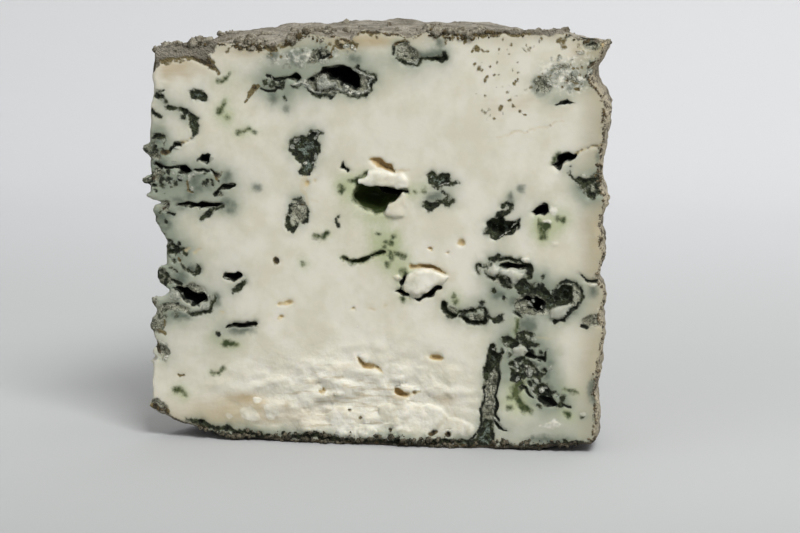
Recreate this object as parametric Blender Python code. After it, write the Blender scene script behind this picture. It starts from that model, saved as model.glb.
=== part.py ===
"""A wedge of blue cheese with a natural rind, standing on the rind of its base.

It was cut from a round wheel. The tip, at the left end of the front cut face, was the
wheel's centre, and the heel at the right is the wheel's rim. Both cut faces carry mould
holes and cracks, and the front one shows a channel that a piercing needle left.
"""
import math

import bmesh
import bpy
from mathutils import Matrix, Vector, noise

MM = 0.001

# Driving dimensions, in millimetres like every size below
WHEEL_RADIUS = 99.4
WHEEL_HEIGHT = 89.6
WEDGE_ANGLE = math.radians(66.0)
TIP_PLACE = Vector((-49.3, -45.07, 0.0))

# The top sags towards the wheel's centre
TOP_SAG = 6.3
TOP_SAG_REACH = 26.0
TOP_EDGE_DROP = 1.5
TOP_EDGE_START = 88.0

# The base curls up at the tip and at the rim and is flat between
TIP_CURL = 7.2
TIP_CURL_REACH = 11.0
TIP_CURL_END = 0.25
RIM_CURL = 2.8
RIM_CURL_START = 70.0

# How steps are shared out over the surface
STEPS_OUT = 23
STEPS_ROUND = 12
STEPS_UP = 22

# Height of the rind's bark and of the paste's unevenness, with the size of their lumps
BARK_HEIGHT = 0.55
BARK_SIZE = 9.0
PASTE_HEIGHT = 0.30
PASTE_SIZE = 12.0
FLAKE_HEIGHT = 1.1
FLAKE_SIZE = 5.0
FLAKE_CENTRE = (48.0, 10.0)
FLAKE_REACH = (27.0, 10.0)

# Where the ragged tip edge stands, as height and distance from the wheel's centre
TIP_EDGE = (
    (7.0, -0.4), (14.5, 0.0), (17.3, 1.8), (19.0, 0.2), (21.1, 1.4), (25.7, 0.1), (30.0, 0.7),
    (32.7, 4.6), (35.5, 1.8), (38.4, 3.9), (42.0, 4.2), (45.7, 2.7), (50.5, 0.9), (52.1, 3.6),
    (53.3, -0.6), (59.6, 0.4), (66.2, 0.2), (76.6, 1.5), (83.0, 1.4),
)

# Where the heel's bark stands, as height and distance from the wheel's centre
HEEL_EDGE = (
    (3.0, 98.2), (11.2, 98.4), (13.3, 97.3), (15.5, 98.5), (20.7, 98.9), (25.7, 99.9), (29.9, 98.8),
    (33.5, 99.8), (37.8, 98.2), (42.7, 99.6), (46.0, 99.5), (49.1, 98.5), (54.4, 100.0), (59.7, 98.4),
    (66.0, 99.5), (74.4, 100.4), (77.5, 99.9), (81.3, 97.6), (84.2, 99.4), (87.0, 100.0), (89.6, 98.6),
)
HEEL_EDGE_FADE = 0.45

# Mould holes as (along the face, height, half length, half height, depth, tilt in degrees)
FRONT_DEEP_HOLES = (
    (43.6, 79.7, 4.7, 2.7, 14.0, -18),
    (50.6, 54.2, 5.3, 3.2, 12.0, -4),
)
FRONT_HOLES = (
    (39.3, 78.4, 4.3, 2.5, 5.0, 0),
    (34.0, 79.6, 3.0, 1.3, 4.0, 0),
    (48.3, 78.9, 2.2, 2.4, 4.0, 0),
    (43.5, 60.7, 1.5, 0.9, 3.5, -20),
    (90.8, 62.7, 2.5, 2.0, 9.0, 20),
    (95.0, 59.0, 3.6, 1.9, 2.6, -28),
    (86.0, 52.0, 2.0, 1.5, 7.0, 10),
    (77.9, 47.6, 3.9, 2.4, 3.4, 12),
    (78.4, 51.6, 1.5, 1.6, 2.0, 30),
    (79.6, 40.2, 3.2, 1.5, 5.0, -8),
    (73.5, 39.4, 1.4, 1.2, 1.6, 0),
    (84.4, 32.0, 3.1, 2.0, 9.0, -10),
    (91.1, 35.0, 2.8, 2.6, 5.0, 0),
    (18.8, 36.5, 1.9, 1.1, 5.0, 0),
    (10.4, 31.6, 3.4, 2.1, 9.0, -22),
    (12.6, 62.2, 1.6, 1.2, 5.0, 20),
    (8.4, 59.5, 2.0, 1.0, 6.0, 5),
    (12.6, 51.8, 2.3, 1.0, 6.0, 0),
    (37.9, 67.8, 1.4, 1.6, 2.4, 0),
    (35.3, 63.2, 3.0, 3.8, 1.3, -12),
    (33.4, 50.2, 2.2, 4.2, 1.4, -12),
    (60.0, 85.4, 5.4, 2.3, 2.0, 0),
    (91.2, 75.2, 2.2, 0.9, 4.0, 0),
    (30.3, 30.5, 2.3, 0.8, 1.6, 14),
    (65.2, 57.8, 3.0, 1.6, 1.4, -12),
    (0.4, 20.4, 2.4, 2.2, 3.6, 10),
    (27.6, 76.6, 2.4, 1.6, 1.2, 0),
)
BACK_DEEP_HOLES = (
    (38.0, 47.0, 4.8, 2.6, 10.0, 8),
    (70.0, 66.0, 4.4, 2.8, 11.0, -12),
)
BACK_HOLES = (
    (20.0, 66.0, 2.6, 1.4, 6.0, 12),
    (13.0, 38.0, 3.2, 1.5, 6.0, -10),
    (29.0, 22.0, 2.8, 1.7, 5.0, 6),
    (56.0, 78.0, 3.6, 1.6, 4.0, -6),
    (52.0, 30.0, 3.4, 1.8, 6.0, -14),
    (63.0, 46.0, 2.0, 3.2, 2.0, 8),
    (84.0, 42.0, 3.2, 2.0, 7.0, 10),
    (78.0, 19.0, 3.8, 1.7, 4.0, -8),
    (33.0, 79.0, 2.4, 1.6, 3.0, 0),
)

# Cracks and channels as depth, then (along the face, height, half width) at each turn
FRONT_CRACKS = (
    (1.7, ((75.9, 23.6, 0.7), (75.8, 19.3, 1.5), (75.5, 12.2, 1.4), (75.0, 7.0, 1.7), (74.2, 2.0, 2.7),
           (74.2, -2.0, 3.2))),
    (5.0, ((55.2, 34.9, 0.3), (57.6, 33.5, 0.5), (60.0, 32.8, 0.6), (62.6, 33.4, 0.6), (65.6, 35.0, 0.3))),
    (2.5, ((56.2, 37.6, 0.3), (58.8, 39.2, 0.6), (62.4, 39.7, 0.6), (66.2, 37.9, 0.3))),
    (2.2, ((43.4, 40.9, 0.3), (46.1, 40.2, 0.6), (51.4, 42.2, 0.4), (56.2, 41.9, 0.2))),
    (2.2, ((48.5, 62.7, 0.3), (51.8, 61.8, 0.6), (57.4, 60.2, 0.2))),
    (3.0, ((93.0, 64.4, 0.3), (95.8, 65.4, 0.4), (99.5, 66.6, 0.4))),
    (3.0, ((0.0, 60.6, 0.4), (5.0, 60.1, 0.4), (12.0, 59.6, 0.5), (16.2, 58.1, 0.3))),
    (3.0, ((3.0, 62.6, 0.3), (6.0, 64.7, 0.4), (9.4, 66.5, 0.2))),
    (3.0, ((6.6, 52.2, 0.3), (12.0, 51.8, 0.5), (17.0, 52.1, 0.3))),
    (2.2, ((15.0, 53.6, 0.3), (16.8, 55.4, 0.4), (19.3, 56.0, 0.2))),
    (4.0, ((17.2, 25.4, 0.3), (20.8, 25.7, 0.5), (24.2, 25.7, 0.3))),
    (2.0, ((53.2, 12.7, 0.3), (56.0, 11.6, 0.8), (60.8, 11.6, 0.3))),
    (3.0, ((26.6, 79.5, 0.3), (30.0, 80.4, 0.6), (34.0, 79.8, 0.6))),
    (1.6, ((66.0, 31.0, 0.9), (69.0, 30.0, 1.1), (73.0, 30.6, 1.5), (75.0, 28.6, 0.6), (77.6, 28.4, 0.5))),
    (1.8, ((80.2, 18.4, 0.9), (83.6, 17.4, 1.2), (85.6, 14.2, 1.2), (89.0, 11.4, 1.1), (93.0, 9.6, 0.4))),
)
BACK_CRACKS = (
    (1.7, ((45.0, 70.0, 0.8), (45.6, 58.0, 1.4), (45.2, 52.0, 1.2))),
    (3.0, ((6.0, 54.0, 0.3), (14.0, 53.0, 0.5), (22.0, 54.6, 0.3))),
    (2.4, ((60.0, 57.0, 0.3), (66.0, 56.0, 0.6), (73.0, 57.6, 0.3))),
    (2.4, ((76.0, 33.0, 0.3), (82.0, 31.6, 0.6), (89.0, 33.0, 0.3))),
    (2.0, ((36.0, 10.0, 0.3), (44.0, 9.0, 0.8), (52.0, 10.4, 0.3))),
)

# Crust and curd that stands out, as (along the face, depth of its middle, height, three half sizes)
FRONT_LUMPS = (
    (1.6, 1.2, 64.0, 2.7, 1.8, 1.8),
    (1.0, 1.4, 57.0, 2.5, 1.8, 1.4),
    (1.4, 1.2, 53.8, 2.2, 1.5, 0.9),
    (3.2, 1.4, 36.6, 2.0, 1.7, 2.0),
    (1.9, 1.4, 29.8, 1.9, 1.6, 1.4),
    (2.0, 1.2, 24.4, 1.9, 1.5, 1.2),
    (1.8, 1.6, 7.4, 2.2, 1.8, 1.2),
    (38.9, 2.8, 77.6, 2.0, 2.0, 1.4),
    (50.8, 0.6, 58.0, 4.8, 1.4, 1.1),
    (55.2, 0.7, 52.3, 1.6, 1.6, 2.1),
    (60.9, 0.7, 36.3, 4.3, 1.4, 2.3),
    (80.2, 1.5, 37.9, 1.7, 1.8, 1.0),
    (90.6, 1.5, 31.2, 2.2, 1.8, 0.9),
    (97.0, 1.6, 28.0, 2.6, 1.7, 1.1),
    (41.2, 0.4, 10.6, 1.9, 1.2, 1.0),
    (46.5, 0.4, 5.4, 5.0, 1.5, 2.6),
    (24.5, 0.4, 6.6, 3.6, 1.3, 2.0),
    (58.0, 0.3, 7.4, 5.5, 1.4, 2.4),
)


def read_edge(points, height):
    """Distance on an edge at a height, by straight lines between its points."""
    if height <= points[0][0]:
        return points[0][1]
    for (low, before), (high, after) in zip(points, points[1:]):
        if height <= high:
            return before + (after - before) * (height - low) / (high - low)
    return points[-1][1]


def rise(value, start, end):
    """Nought before start, one after end, and a smooth rise between."""
    share = min(max((value - start) / (end - start), 0.0), 1.0)
    return share * share * (3.0 - 2.0 * share)


def roughness(place, size, layer):
    """Uneven height from -1 to 1 with lumps of the given size."""
    return noise.fractal(Vector(place) / size + Vector((layer, 0.0, 0.0)), 0.9, 2.1, 3)


def top_height(out):
    """Height of the top rind at a distance from the wheel's centre."""
    sag = TOP_SAG * math.exp(-((out / TOP_SAG_REACH) ** 2))
    return WHEEL_HEIGHT - sag - TOP_EDGE_DROP * rise(out, TOP_EDGE_START, WHEEL_RADIUS)


def base_height(out):
    """Height of the base rind, which is nought where it rests."""
    tip = max(TIP_CURL * math.exp(-out / TIP_CURL_REACH) - TIP_CURL_END, 0.0)
    rim = max(out - RIM_CURL_START, 0.0) / (WHEEL_RADIUS - RIM_CURL_START)
    return tip + RIM_CURL * rim * rim


def heel_distance(round_share, height):
    """Distance of the heel's bark from the wheel's centre, creased most at the front."""
    creased = read_edge(HEEL_EDGE, height)
    plain = WHEEL_RADIUS + 0.5 * (creased - WHEEL_RADIUS)
    fade = rise(round_share, 0.0, HEEL_EDGE_FADE)
    return creased + (plain - creased) * fade


def wedge_point(out_share, round_share, up_share):
    """A point of the smooth wedge, from shares of the way out, round and up."""
    guess = up_share * WHEEL_HEIGHT
    near = read_edge(TIP_EDGE, guess)
    far = heel_distance(round_share, guess)
    out = near + (far - near) * out_share
    height = base_height(out) + (top_height(out) - base_height(out)) * up_share
    angle = round_share * WEDGE_ANGLE if out_share > 0.0 else 0.0
    return Vector((out * math.cos(angle), out * math.sin(angle), height))


def flakes(along, height):
    """How far the curd flakes stand out, low on the front cut face."""
    across = (along - FLAKE_CENTRE[0]) / FLAKE_REACH[0]
    up = (height - FLAKE_CENTRE[1]) / FLAKE_REACH[1]
    patch = math.exp(-(across * across + up * up))
    return FLAKE_HEIGHT * patch * roughness((along, height * 1.8, 0.0), FLAKE_SIZE, 7.0)


def rough_point(i, j, k):
    """A surface point by its three step numbers, with bark, flakes and unevenness added."""
    out_share = i / STEPS_OUT
    round_share = j / STEPS_ROUND
    up_share = 0.5 - 0.5 * math.cos(math.pi * k / STEPS_UP)
    up_share = 0.35 * up_share + 0.65 * k / STEPS_UP
    point = wedge_point(out_share, round_share, up_share)
    angle = round_share * WEDGE_ANGLE
    outward = Vector((math.cos(angle), math.sin(angle), 0.0))
    place = point.copy()
    if i == STEPS_OUT:
        place += outward * BARK_HEIGHT * roughness(point, BARK_SIZE, 1.0)
    if k == STEPS_UP:
        place.z += BARK_HEIGHT * roughness(point, BARK_SIZE, 2.0)
    if k == 0 and point.z > 0.0:
        place.z = max(place.z + BARK_HEIGHT * roughness(point, BARK_SIZE, 3.0), 0.0)
    if j == 0:
        uneven = PASTE_HEIGHT * roughness(point, PASTE_SIZE, 4.0)
        place.y -= uneven + flakes(point.x, point.z)
    if j == STEPS_ROUND:
        into = Vector((math.sin(WEDGE_ANGLE), -math.cos(WEDGE_ANGLE), 0.0))
        place += into * PASTE_HEIGHT * roughness(point, PASTE_SIZE, 5.0)
    return place


def on_surface(i, j, k):
    """Whether a step triple lies on the outside of the block."""
    return i == STEPS_OUT or j in (0, STEPS_ROUND) or k in (0, STEPS_UP)


def key(i, j, k):
    """The step triple of a point, with all the points of the tip edge as one column."""
    return (i, 0, k) if i == 0 else (i, j, k)


def block_faces():
    """Corners of each face of the block, as step triples."""
    for i in range(STEPS_OUT):
        for k in range(STEPS_UP):
            for j in (0, STEPS_ROUND):
                yield (i, j, k), (i + 1, j, k), (i + 1, j, k + 1), (i, j, k + 1)
        for j in range(STEPS_ROUND):
            for k in (0, STEPS_UP):
                yield (i, j, k), (i + 1, j, k), (i + 1, j + 1, k), (i, j + 1, k)
    for j in range(STEPS_ROUND):
        for k in range(STEPS_UP):
            i = STEPS_OUT
            yield (i, j, k), (i, j + 1, k), (i, j + 1, k + 1), (i, j, k + 1)


def wedge_block():
    """The whole wedge before its holes, in millimetres from the wheel's centre."""
    block = bmesh.new()
    points = {}
    for corners in block_faces():
        loop = []
        for corner in corners:
            name = key(*corner)
            if name not in points:
                points[name] = block.verts.new(rough_point(*name))
            if points[name] not in loop:
                loop.append(points[name])
        if len(loop) > 2:
            block.faces.new(loop)
    bmesh.ops.triangulate(block, faces=block.faces)
    return block


def face_matrix(back):
    """Turns (along the face, into the cheese, up) into the wedge's own axes."""
    if not back:
        return Matrix.Identity(4)
    cosine = math.cos(WEDGE_ANGLE)
    sine = math.sin(WEDGE_ANGLE)
    return Matrix(((cosine, sine, 0, 0), (sine, -cosine, 0, 0), (0, 0, 1, 0), (0, 0, 0, 1)))


def rough_ball(centre, half_sizes, tilt, swell, steps):
    """A lumpy ball with three half sizes, turned by a tilt within the face."""
    ball = bmesh.new()
    bmesh.ops.create_icosphere(ball, subdivisions=steps, radius=1.0)
    turn = Matrix.Rotation(math.radians(-tilt), 4, "Y")
    for vertex in ball.verts:
        lump = 1.0 + swell * noise.noise(vertex.co * 1.9 + Vector(centre))
        sized = Vector(axis * half * lump for axis, half in zip(vertex.co, half_sizes))
        vertex.co = Vector(centre) + turn @ sized
    return ball


def crack_cutter(depth, stations):
    """A cutter along the turns of a crack or channel, with a keel shaped section."""
    outside = 2.0
    cutter = bmesh.new()
    rings = []
    for index, (along, height, half) in enumerate(stations):
        before = stations[max(index - 1, 0)]
        after = stations[min(index + 1, len(stations) - 1)]
        ahead = Vector((after[0] - before[0], 0.0, after[1] - before[1])).normalized()
        side = Vector((-ahead.z, 0.0, ahead.x))
        at_end = index in (0, len(stations) - 1)
        reach = depth * (0.5 if at_end else 1.0)
        middle = Vector((along, 0.0, height))
        wall = 0.9 * half
        keel = 0.6 * reach
        section = ((-half, -outside), (-wall, keel), (0.0, reach), (wall, keel), (half, -outside))
        ring = [middle + side * across + Vector((0.0, into, 0.0)) for across, into in section]
        rings.append([cutter.verts.new(place) for place in ring])
    for ring, following in zip(rings, rings[1:]):
        for corner in range(len(ring)):
            next_corner = (corner + 1) % len(ring)
            wall = (ring[corner], ring[next_corner], following[next_corner], following[corner])
            cutter.faces.new(wall)
    cutter.faces.new(rings[0])
    cutter.faces.new(rings[-1])
    bmesh.ops.triangulate(cutter, faces=cutter.faces)
    return cutter


def add_object(name, shape, matrix, collection):
    """Makes an object, in metres and in the part's own place, from a shape in millimetres."""
    bmesh.ops.transform(shape, matrix=matrix, verts=shape.verts)
    bmesh.ops.translate(shape, vec=TIP_PLACE, verts=shape.verts)
    bmesh.ops.scale(shape, vec=(MM, MM, MM), verts=shape.verts)
    bmesh.ops.recalc_face_normals(shape, faces=shape.faces)
    mesh = bpy.data.meshes.new(name)
    shape.to_mesh(mesh)
    shape.free()
    made = bpy.data.objects.new(name, mesh)
    collection.objects.link(made)
    return made


def add_holes(collection, back, deep_holes, holes, cracks):
    """Cutters for every hole and crack of one cut face."""
    side = "back" if back else "front"
    matrix = face_matrix(back)
    for steps, group in ((3, deep_holes), (2, holes)):
        for index, (along, height, half_along, half_up, depth, tilt) in enumerate(group):
            ball = rough_ball((along, 0.0, height), (half_along, depth, half_up), tilt, 0.22, steps)
            add_object(f"{side}_hole_{steps}_{index}", ball, matrix, collection)
    for index, (depth, stations) in enumerate(cracks):
        add_object(f"{side}_crack_{index}", crack_cutter(depth, stations), matrix, collection)


def add_lumps(collection):
    """Crust and curd standing out of the tip and of the front cut face."""
    for index, (along, into, height, *half_sizes) in enumerate(FRONT_LUMPS):
        ball = rough_ball((along, into, height), half_sizes, 0.0, 0.3, 2)
        add_object(f"lump_{index}", ball, face_matrix(False), collection)


def combine(target, collection, operation):
    """Cuts away or joins on every object of a collection, then removes them."""
    boolean = target.modifiers.new(operation.title(), "BOOLEAN")
    boolean.operation = operation
    boolean.solver = "EXACT"
    boolean.operand_type = "COLLECTION"
    boolean.collection = collection
    bpy.context.view_layer.objects.active = target
    target.select_set(True)
    bpy.ops.object.modifier_apply(modifier=boolean.name)
    for item in list(collection.objects):
        bpy.data.objects.remove(item, do_unlink=True)


def clean_up(target):
    """Merges points that the cuts left on top of each other and drops loose scraps."""
    merge_distance = 0.00001
    shape = bmesh.new()
    shape.from_mesh(target.data)
    bmesh.ops.remove_doubles(shape, verts=shape.verts, dist=merge_distance)
    bmesh.ops.dissolve_degenerate(shape, edges=shape.edges, dist=merge_distance)
    bmesh.ops.triangulate(shape, faces=shape.faces)
    islands = []
    waiting = set(shape.verts)
    while waiting:
        island = set()
        front = [waiting.pop()]
        while front:
            vertex = front.pop()
            island.add(vertex)
            for edge in vertex.link_edges:
                other = edge.other_vert(vertex)
                if other in waiting:
                    waiting.remove(other)
                    front.append(other)
        islands.append(island)
    islands.sort(key=len)
    for island in islands[:-1]:
        bmesh.ops.delete(shape, geom=list(island), context="VERTS")
    shape.to_mesh(target.data)
    shape.free()


def cheese_material():
    """Ivory paste; the rind and the mould are coloured by the dressed scene."""
    material = bpy.data.materials.new("ivory_paste")
    material.use_nodes = True
    shader = material.node_tree.nodes["Principled BSDF"]
    shader.inputs["Base Color"].default_value = (0.68, 0.64, 0.53, 1.0)
    shader.inputs["Roughness"].default_value = 0.6
    shader.inputs["Metallic"].default_value = 0.0
    return material


def new_collection(name):
    """An empty collection in the scene."""
    collection = bpy.data.collections.new(name)
    bpy.context.scene.collection.children.link(collection)
    return collection


def main():
    """Builds the wedge, cuts its holes and joins on its crust."""
    for item in list(bpy.data.objects):
        bpy.data.objects.remove(item, do_unlink=True)
    wedge = add_object("cheese_wedge", wedge_block(), Matrix.Identity(4), bpy.context.scene.collection)
    holes = new_collection("holes")
    add_holes(holes, False, FRONT_DEEP_HOLES, FRONT_HOLES, FRONT_CRACKS)
    add_holes(holes, True, BACK_DEEP_HOLES, BACK_HOLES, BACK_CRACKS)
    combine(wedge, holes, "DIFFERENCE")
    lumps = new_collection("lumps")
    add_lumps(lumps)
    combine(wedge, lumps, "UNION")
    clean_up(wedge)
    wedge.data.materials.append(cheese_material())
    wedge.data.shade_smooth()
    wedge.data.set_sharp_from_angle(angle=math.radians(35.0))


main()
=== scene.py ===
"""Dresses the wedge of blue cheese: its paste, mould and rind, with a floor, lamps and a camera.

The wedge's own axes are used throughout, in millimetres: x runs along the front cut face from
the tip, y runs into the cheese and z runs up. Every mark on a cut face is given by its
distance along that face and its height.
"""
import logging
import math
from dataclasses import dataclass
from enum import Enum
from typing import Mapping, Sequence, Union

import bmesh
import bpy
import numpy as np
from mathutils import Euler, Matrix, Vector


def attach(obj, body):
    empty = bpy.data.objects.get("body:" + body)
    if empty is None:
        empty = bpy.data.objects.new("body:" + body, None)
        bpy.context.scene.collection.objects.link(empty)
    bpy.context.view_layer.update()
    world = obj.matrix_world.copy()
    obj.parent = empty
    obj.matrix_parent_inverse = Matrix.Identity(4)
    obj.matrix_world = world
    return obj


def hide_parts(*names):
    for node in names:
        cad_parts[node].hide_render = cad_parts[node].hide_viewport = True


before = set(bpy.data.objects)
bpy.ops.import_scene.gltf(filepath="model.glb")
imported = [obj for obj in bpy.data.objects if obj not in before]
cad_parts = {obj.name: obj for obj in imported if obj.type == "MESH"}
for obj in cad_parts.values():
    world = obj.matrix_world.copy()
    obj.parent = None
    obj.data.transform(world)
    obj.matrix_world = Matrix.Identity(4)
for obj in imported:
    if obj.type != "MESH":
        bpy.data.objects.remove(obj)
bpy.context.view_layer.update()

NODE = "cheese_wedge"
BODY = "root"
MM = 0.001
TIP_PLACE = (-49.3, -45.07, 0.0)
WEDGE_ANGLE = math.radians(66.0)
# The largest distance from a lining that the surface carries, in millimetres
FAR = 9.0

# Distance that stands for nowhere near a mark, and how far round a mark the surface is reshaped
UNREACHED = 99.0
MARGIN = 1.5
# How round the edges are where marks and knobs meet the wedge
MARK_ROUND = 0.25
KNOB_ROUND = 0.35

Array = np.ndarray
Triple = tuple[float, float, float]
Colour = Triple
Stain = tuple[float, float, float, float, float]
log = logging.getLogger("cheese")


class Lining(Enum):
    """What covers the walls of a mark; each has its own vertex values."""

    # Holes and cracks, painted near black: dark mould on their walls and painted shade, darker still deeper
    # in.
    BLACK = "black"
    MOULD = "mould"
    CLOUD = "cloud"
    GREY = "grey"
    GREEN = "green"
    # Honey and ochre marks; in some slots and under curd ledges the ochre is painted warm shade.
    OCHRE = "ochre"
    BROWN = "brown"
    LIP = "lip"
    CURD = "curd"
    BARK = "bark"


class Glow(Enum):
    """Soft stains within the paste."""

    HALO = "halo"
    TINT = "tint"
    # Tan stains, with some painted shade under curd ledges
    TAN = "tan"
    MOTTLE = "mottle"
    FLAKE = "flake"


RAISED = (Lining.LIP, Lining.CURD)

# The stain round a lining, how far it reaches into the paste in millimetres, and how strong it is
STAINS = {
    Lining.BLACK: (Glow.HALO, 1.4, 0.28),
    Lining.MOULD: (Glow.HALO, 1.2, 0.42),
    Lining.CLOUD: (Glow.HALO, 1.2, 0.4),
    Lining.GREY: (Glow.HALO, 1.3, 0.26),
    Lining.GREEN: (Glow.TINT, 1.5, 0.5),
}


def smooth_step(values: Array, start: float, end: float) -> Array:
    """Nought before start, one after end, and a smooth rise between.

    Args:
        values: What is read.
        start: Where the rise begins.
        end: Where it ends; it may be the smaller one.

    Returns:
        Shares from 0 to 1.
    """
    share = np.clip((values - start) / (end - start), 0.0, 1.0)
    return share * share * (3.0 - 2.0 * share)


def smooth_max(first: Array, second: Array, width: float) -> Array:
    """The larger of two distances, rounded over a width where they meet."""
    share = np.maximum(width - np.abs(first - second), 0.0) / width
    return np.maximum(first, second) + share * share * width * 0.25


def smooth_min(first: Array, second: Array, width: float) -> Array:
    """The smaller of two distances, rounded over a width where they meet."""
    return -smooth_max(-first, -second, width)


class Lumps:
    """Uneven values over space, smooth and the same on each run."""

    SIDE = 64
    SHIFT = 17.3

    def __init__(self, seed: int) -> None:
        """Draws the corner values from a seed."""
        draws = np.random.default_rng(seed)
        self.corners = draws.uniform(-1.0, 1.0, self.SIDE**3).astype(np.float32)

    def read(self, places: Array, size: Union[float, Sequence[float]]) -> Array:
        """Values at places.

        Args:
            places: One row for each place, in millimetres.
            size: The lumps' size in millimetres, or one for each axis.

        Returns:
            Values from -1 to 1.
        """
        at = places / np.asarray(size, dtype=np.float32)
        low = np.floor(at)
        share = (at - low).astype(np.float32)
        share = share**3 * (share * (share * 6.0 - 15.0) + 10.0)
        low = low.astype(np.int32)
        total = np.zeros(len(places), dtype=np.float32)
        for corner in range(8):
            steps = (corner >> 2 & 1, corner >> 1 & 1, corner & 1)
            slot = np.zeros(len(places), dtype=np.int32)
            weight = np.ones(len(places), dtype=np.float32)
            for axis, step in enumerate(steps):
                slot = slot * self.SIDE + (low[:, axis] + step & self.SIDE - 1)
                weight *= share[:, axis] if step else 1.0 - share[:, axis]
            total += self.corners[slot] * weight
        return total

    def fractal(self, places: Array, size: Union[float, Sequence[float]], octaves: int) -> Array:
        """The sum of ever finer lumps, each half as high as the one before.

        Args:
            places: One row for each place, in millimetres.
            size: The largest lumps' size, or one for each axis.
            octaves: How many finenesses are added.

        Returns:
            Values that rarely pass -1 and 1.
        """
        size = np.asarray(size, dtype=np.float32)
        total = np.zeros(len(places), dtype=np.float32)
        for octave in range(octaves):
            total += self.read(places + self.SHIFT * octave, size * 0.5**octave) * 0.5**octave
        return total


def line_gap(
    along: Array, height: Array, start: Sequence[float], end: Sequence[float]
) -> tuple[Array, Array]:
    """Distance from a straight line between two places on a face.

    Args:
        along: Places along the face.
        height: Their heights.
        start: Along and height of the line's start.
        end: Along and height of its end.

    Returns:
        The distance, and the share of the line that is passed at the nearest place.
    """
    step_along, step_up = end[0] - start[0], end[1] - start[1]
    length = max(step_along**2 + step_up**2, 1e-6)
    share = np.clip(((along - start[0]) * step_along + (height - start[1]) * step_up) / length, 0.0, 1.0)
    return np.hypot(along - start[0] - share * step_along, height - start[1] - share * step_up), share


class Mark:
    """A mark on a cut face: sunk in to its depth, standing out by it, or only painted."""

    depth: float
    THICK = 3.0
    ROUND = 0.5
    MOST_RAGGED = 0.25

    def flat(self, along: Array, height: Array) -> Array:
        """Distance from the mark's outline on the face, less than nought inside."""
        raise NotImplementedError

    def half_width(self) -> float:
        """Half of how wide the mark is across its narrow way."""
        raise NotImplementedError

    def box(self) -> tuple[float, float, float, float]:
        """Lowest and highest place along the face, then lowest and highest height."""
        raise NotImplementedError

    def ragged(self) -> float:
        """How far its outline wanders, in millimetres."""
        return min(self.MOST_RAGGED, 0.3 * self.half_width())

    def sunk(self, flat: Array, depth: Array) -> Array:
        """Distance from the walls of the hollow that the mark cuts."""
        return flat + self.half_width() * (np.maximum(depth, 0.0) / self.depth) ** 2

    def raised(self, flat: Array, depth: Array) -> Array:
        """Distance from the flap or ridge that stands out by the mark's depth."""
        outer = smooth_max(flat, -depth - self.depth, self.ROUND)
        return smooth_max(outer, depth - self.THICK, self.ROUND)


@dataclass(frozen=True)
class Ball(Mark):
    """A rounded mark."""

    along: float
    height: float
    half_along: float
    half_up: float
    depth: float = 0.7
    tilt: float = 0.0

    def box(self) -> tuple[float, float, float, float]:
        """Lowest and highest place along the face, then lowest and highest height."""
        reach = max(self.half_along, self.half_up)
        return self.along - reach, self.along + reach, self.height - reach, self.height + reach

    def half_width(self) -> float:
        """The smaller half size."""
        return min(self.half_along, self.half_up)

    def flat(self, along: Array, height: Array) -> Array:
        """Distance from the oval's edge.

        Args:
            along: Places along the face.
            height: Their heights.

        Returns:
            The distance of each, less than nought inside.
        """
        turn = math.radians(self.tilt)
        right, up = along - self.along, height - self.height
        across = (right * math.cos(turn) + up * math.sin(turn)) / self.half_along
        above = (up * math.cos(turn) - right * math.sin(turn)) / self.half_up
        whole = np.hypot(across, above)
        slope = np.hypot(across / self.half_along, above / self.half_up)
        return whole * (whole - 1.0) / np.maximum(slope, 0.02)


@dataclass(frozen=True)
class Path(Mark):
    """A crack, band or ridge through turns of (along, height, half width)."""

    depth: float
    turns: tuple[Triple, ...]

    def box(self) -> tuple[float, float, float, float]:
        """Lowest and highest place along the face, then lowest and highest height."""
        along, height, half = (np.array(column) for column in zip(*self.turns))
        return (
            float((along - half).min()), float((along + half).max()),
            float((height - half).min()), float((height + half).max()),
        )

    def half_width(self) -> float:
        """The largest half width."""
        return max(half for _, _, half in self.turns)

    def flat(self, along: Array, height: Array) -> Array:
        """Distance from the band's edge.

        Args:
            along: Places along the face.
            height: Their heights.

        Returns:
            The distance of each, less than nought inside.
        """
        best = np.full(len(along), UNREACHED, dtype=np.float32)
        for start, end in zip(self.turns, self.turns[1:]):
            gap, share = line_gap(along, height, start, end)
            best = np.minimum(best, gap - start[2] - share * (end[2] - start[2]))
        return best


@dataclass(frozen=True)
class Patch(Mark):
    """A mark with a cornered outline of (along, height)."""

    depth: float
    outline: tuple[tuple[float, float], ...]
    RAGGED = 0.22

    def box(self) -> tuple[float, float, float, float]:
        """Lowest and highest place along the face, then lowest and highest height."""
        along, height = zip(*self.outline)
        return min(along), max(along), min(height), max(height)

    def half_width(self) -> float:
        """About half of the narrow way, from its area and its length.

        Returns:
            Half the width in millimetres.
        """
        area = length = 0.0
        for (u0, v0), (u1, v1) in zip(self.outline, self.outline[1:] + self.outline[:1]):
            area += 0.5 * (u0 * v1 - u1 * v0)
            length += math.hypot(u1 - u0, v1 - v0)
        return 1.5 * abs(area) / length

    def ragged(self) -> float:
        """How far its outline wanders, which is little as its corners are given."""
        return self.RAGGED

    def flat(self, along: Array, height: Array) -> Array:
        """Distance from the outline.

        Args:
            along: Places along the face.
            height: Their heights.

        Returns:
            The distance of each, less than nought inside.
        """
        best = np.full(len(along), UNREACHED, dtype=np.float32)
        inside = np.zeros(len(along), dtype=bool)
        for start, end in zip(self.outline, self.outline[1:] + self.outline[:1]):
            best = np.minimum(best, line_gap(along, height, start, end)[0])
            crosses = (start[1] > height) != (end[1] > height)
            rise = end[1] - start[1] or 1e-6
            inside ^= crosses & (along < start[0] + (height - start[1]) / rise * (end[0] - start[0]))
        return np.where(inside, -best, best)


def path(depth: float, *turns: float) -> Path:
    """A crack, band or ridge, from its depth and each turn's along, height and half width."""
    return Path(depth, tuple(zip(turns[::3], turns[1::3], turns[2::3])))


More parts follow.
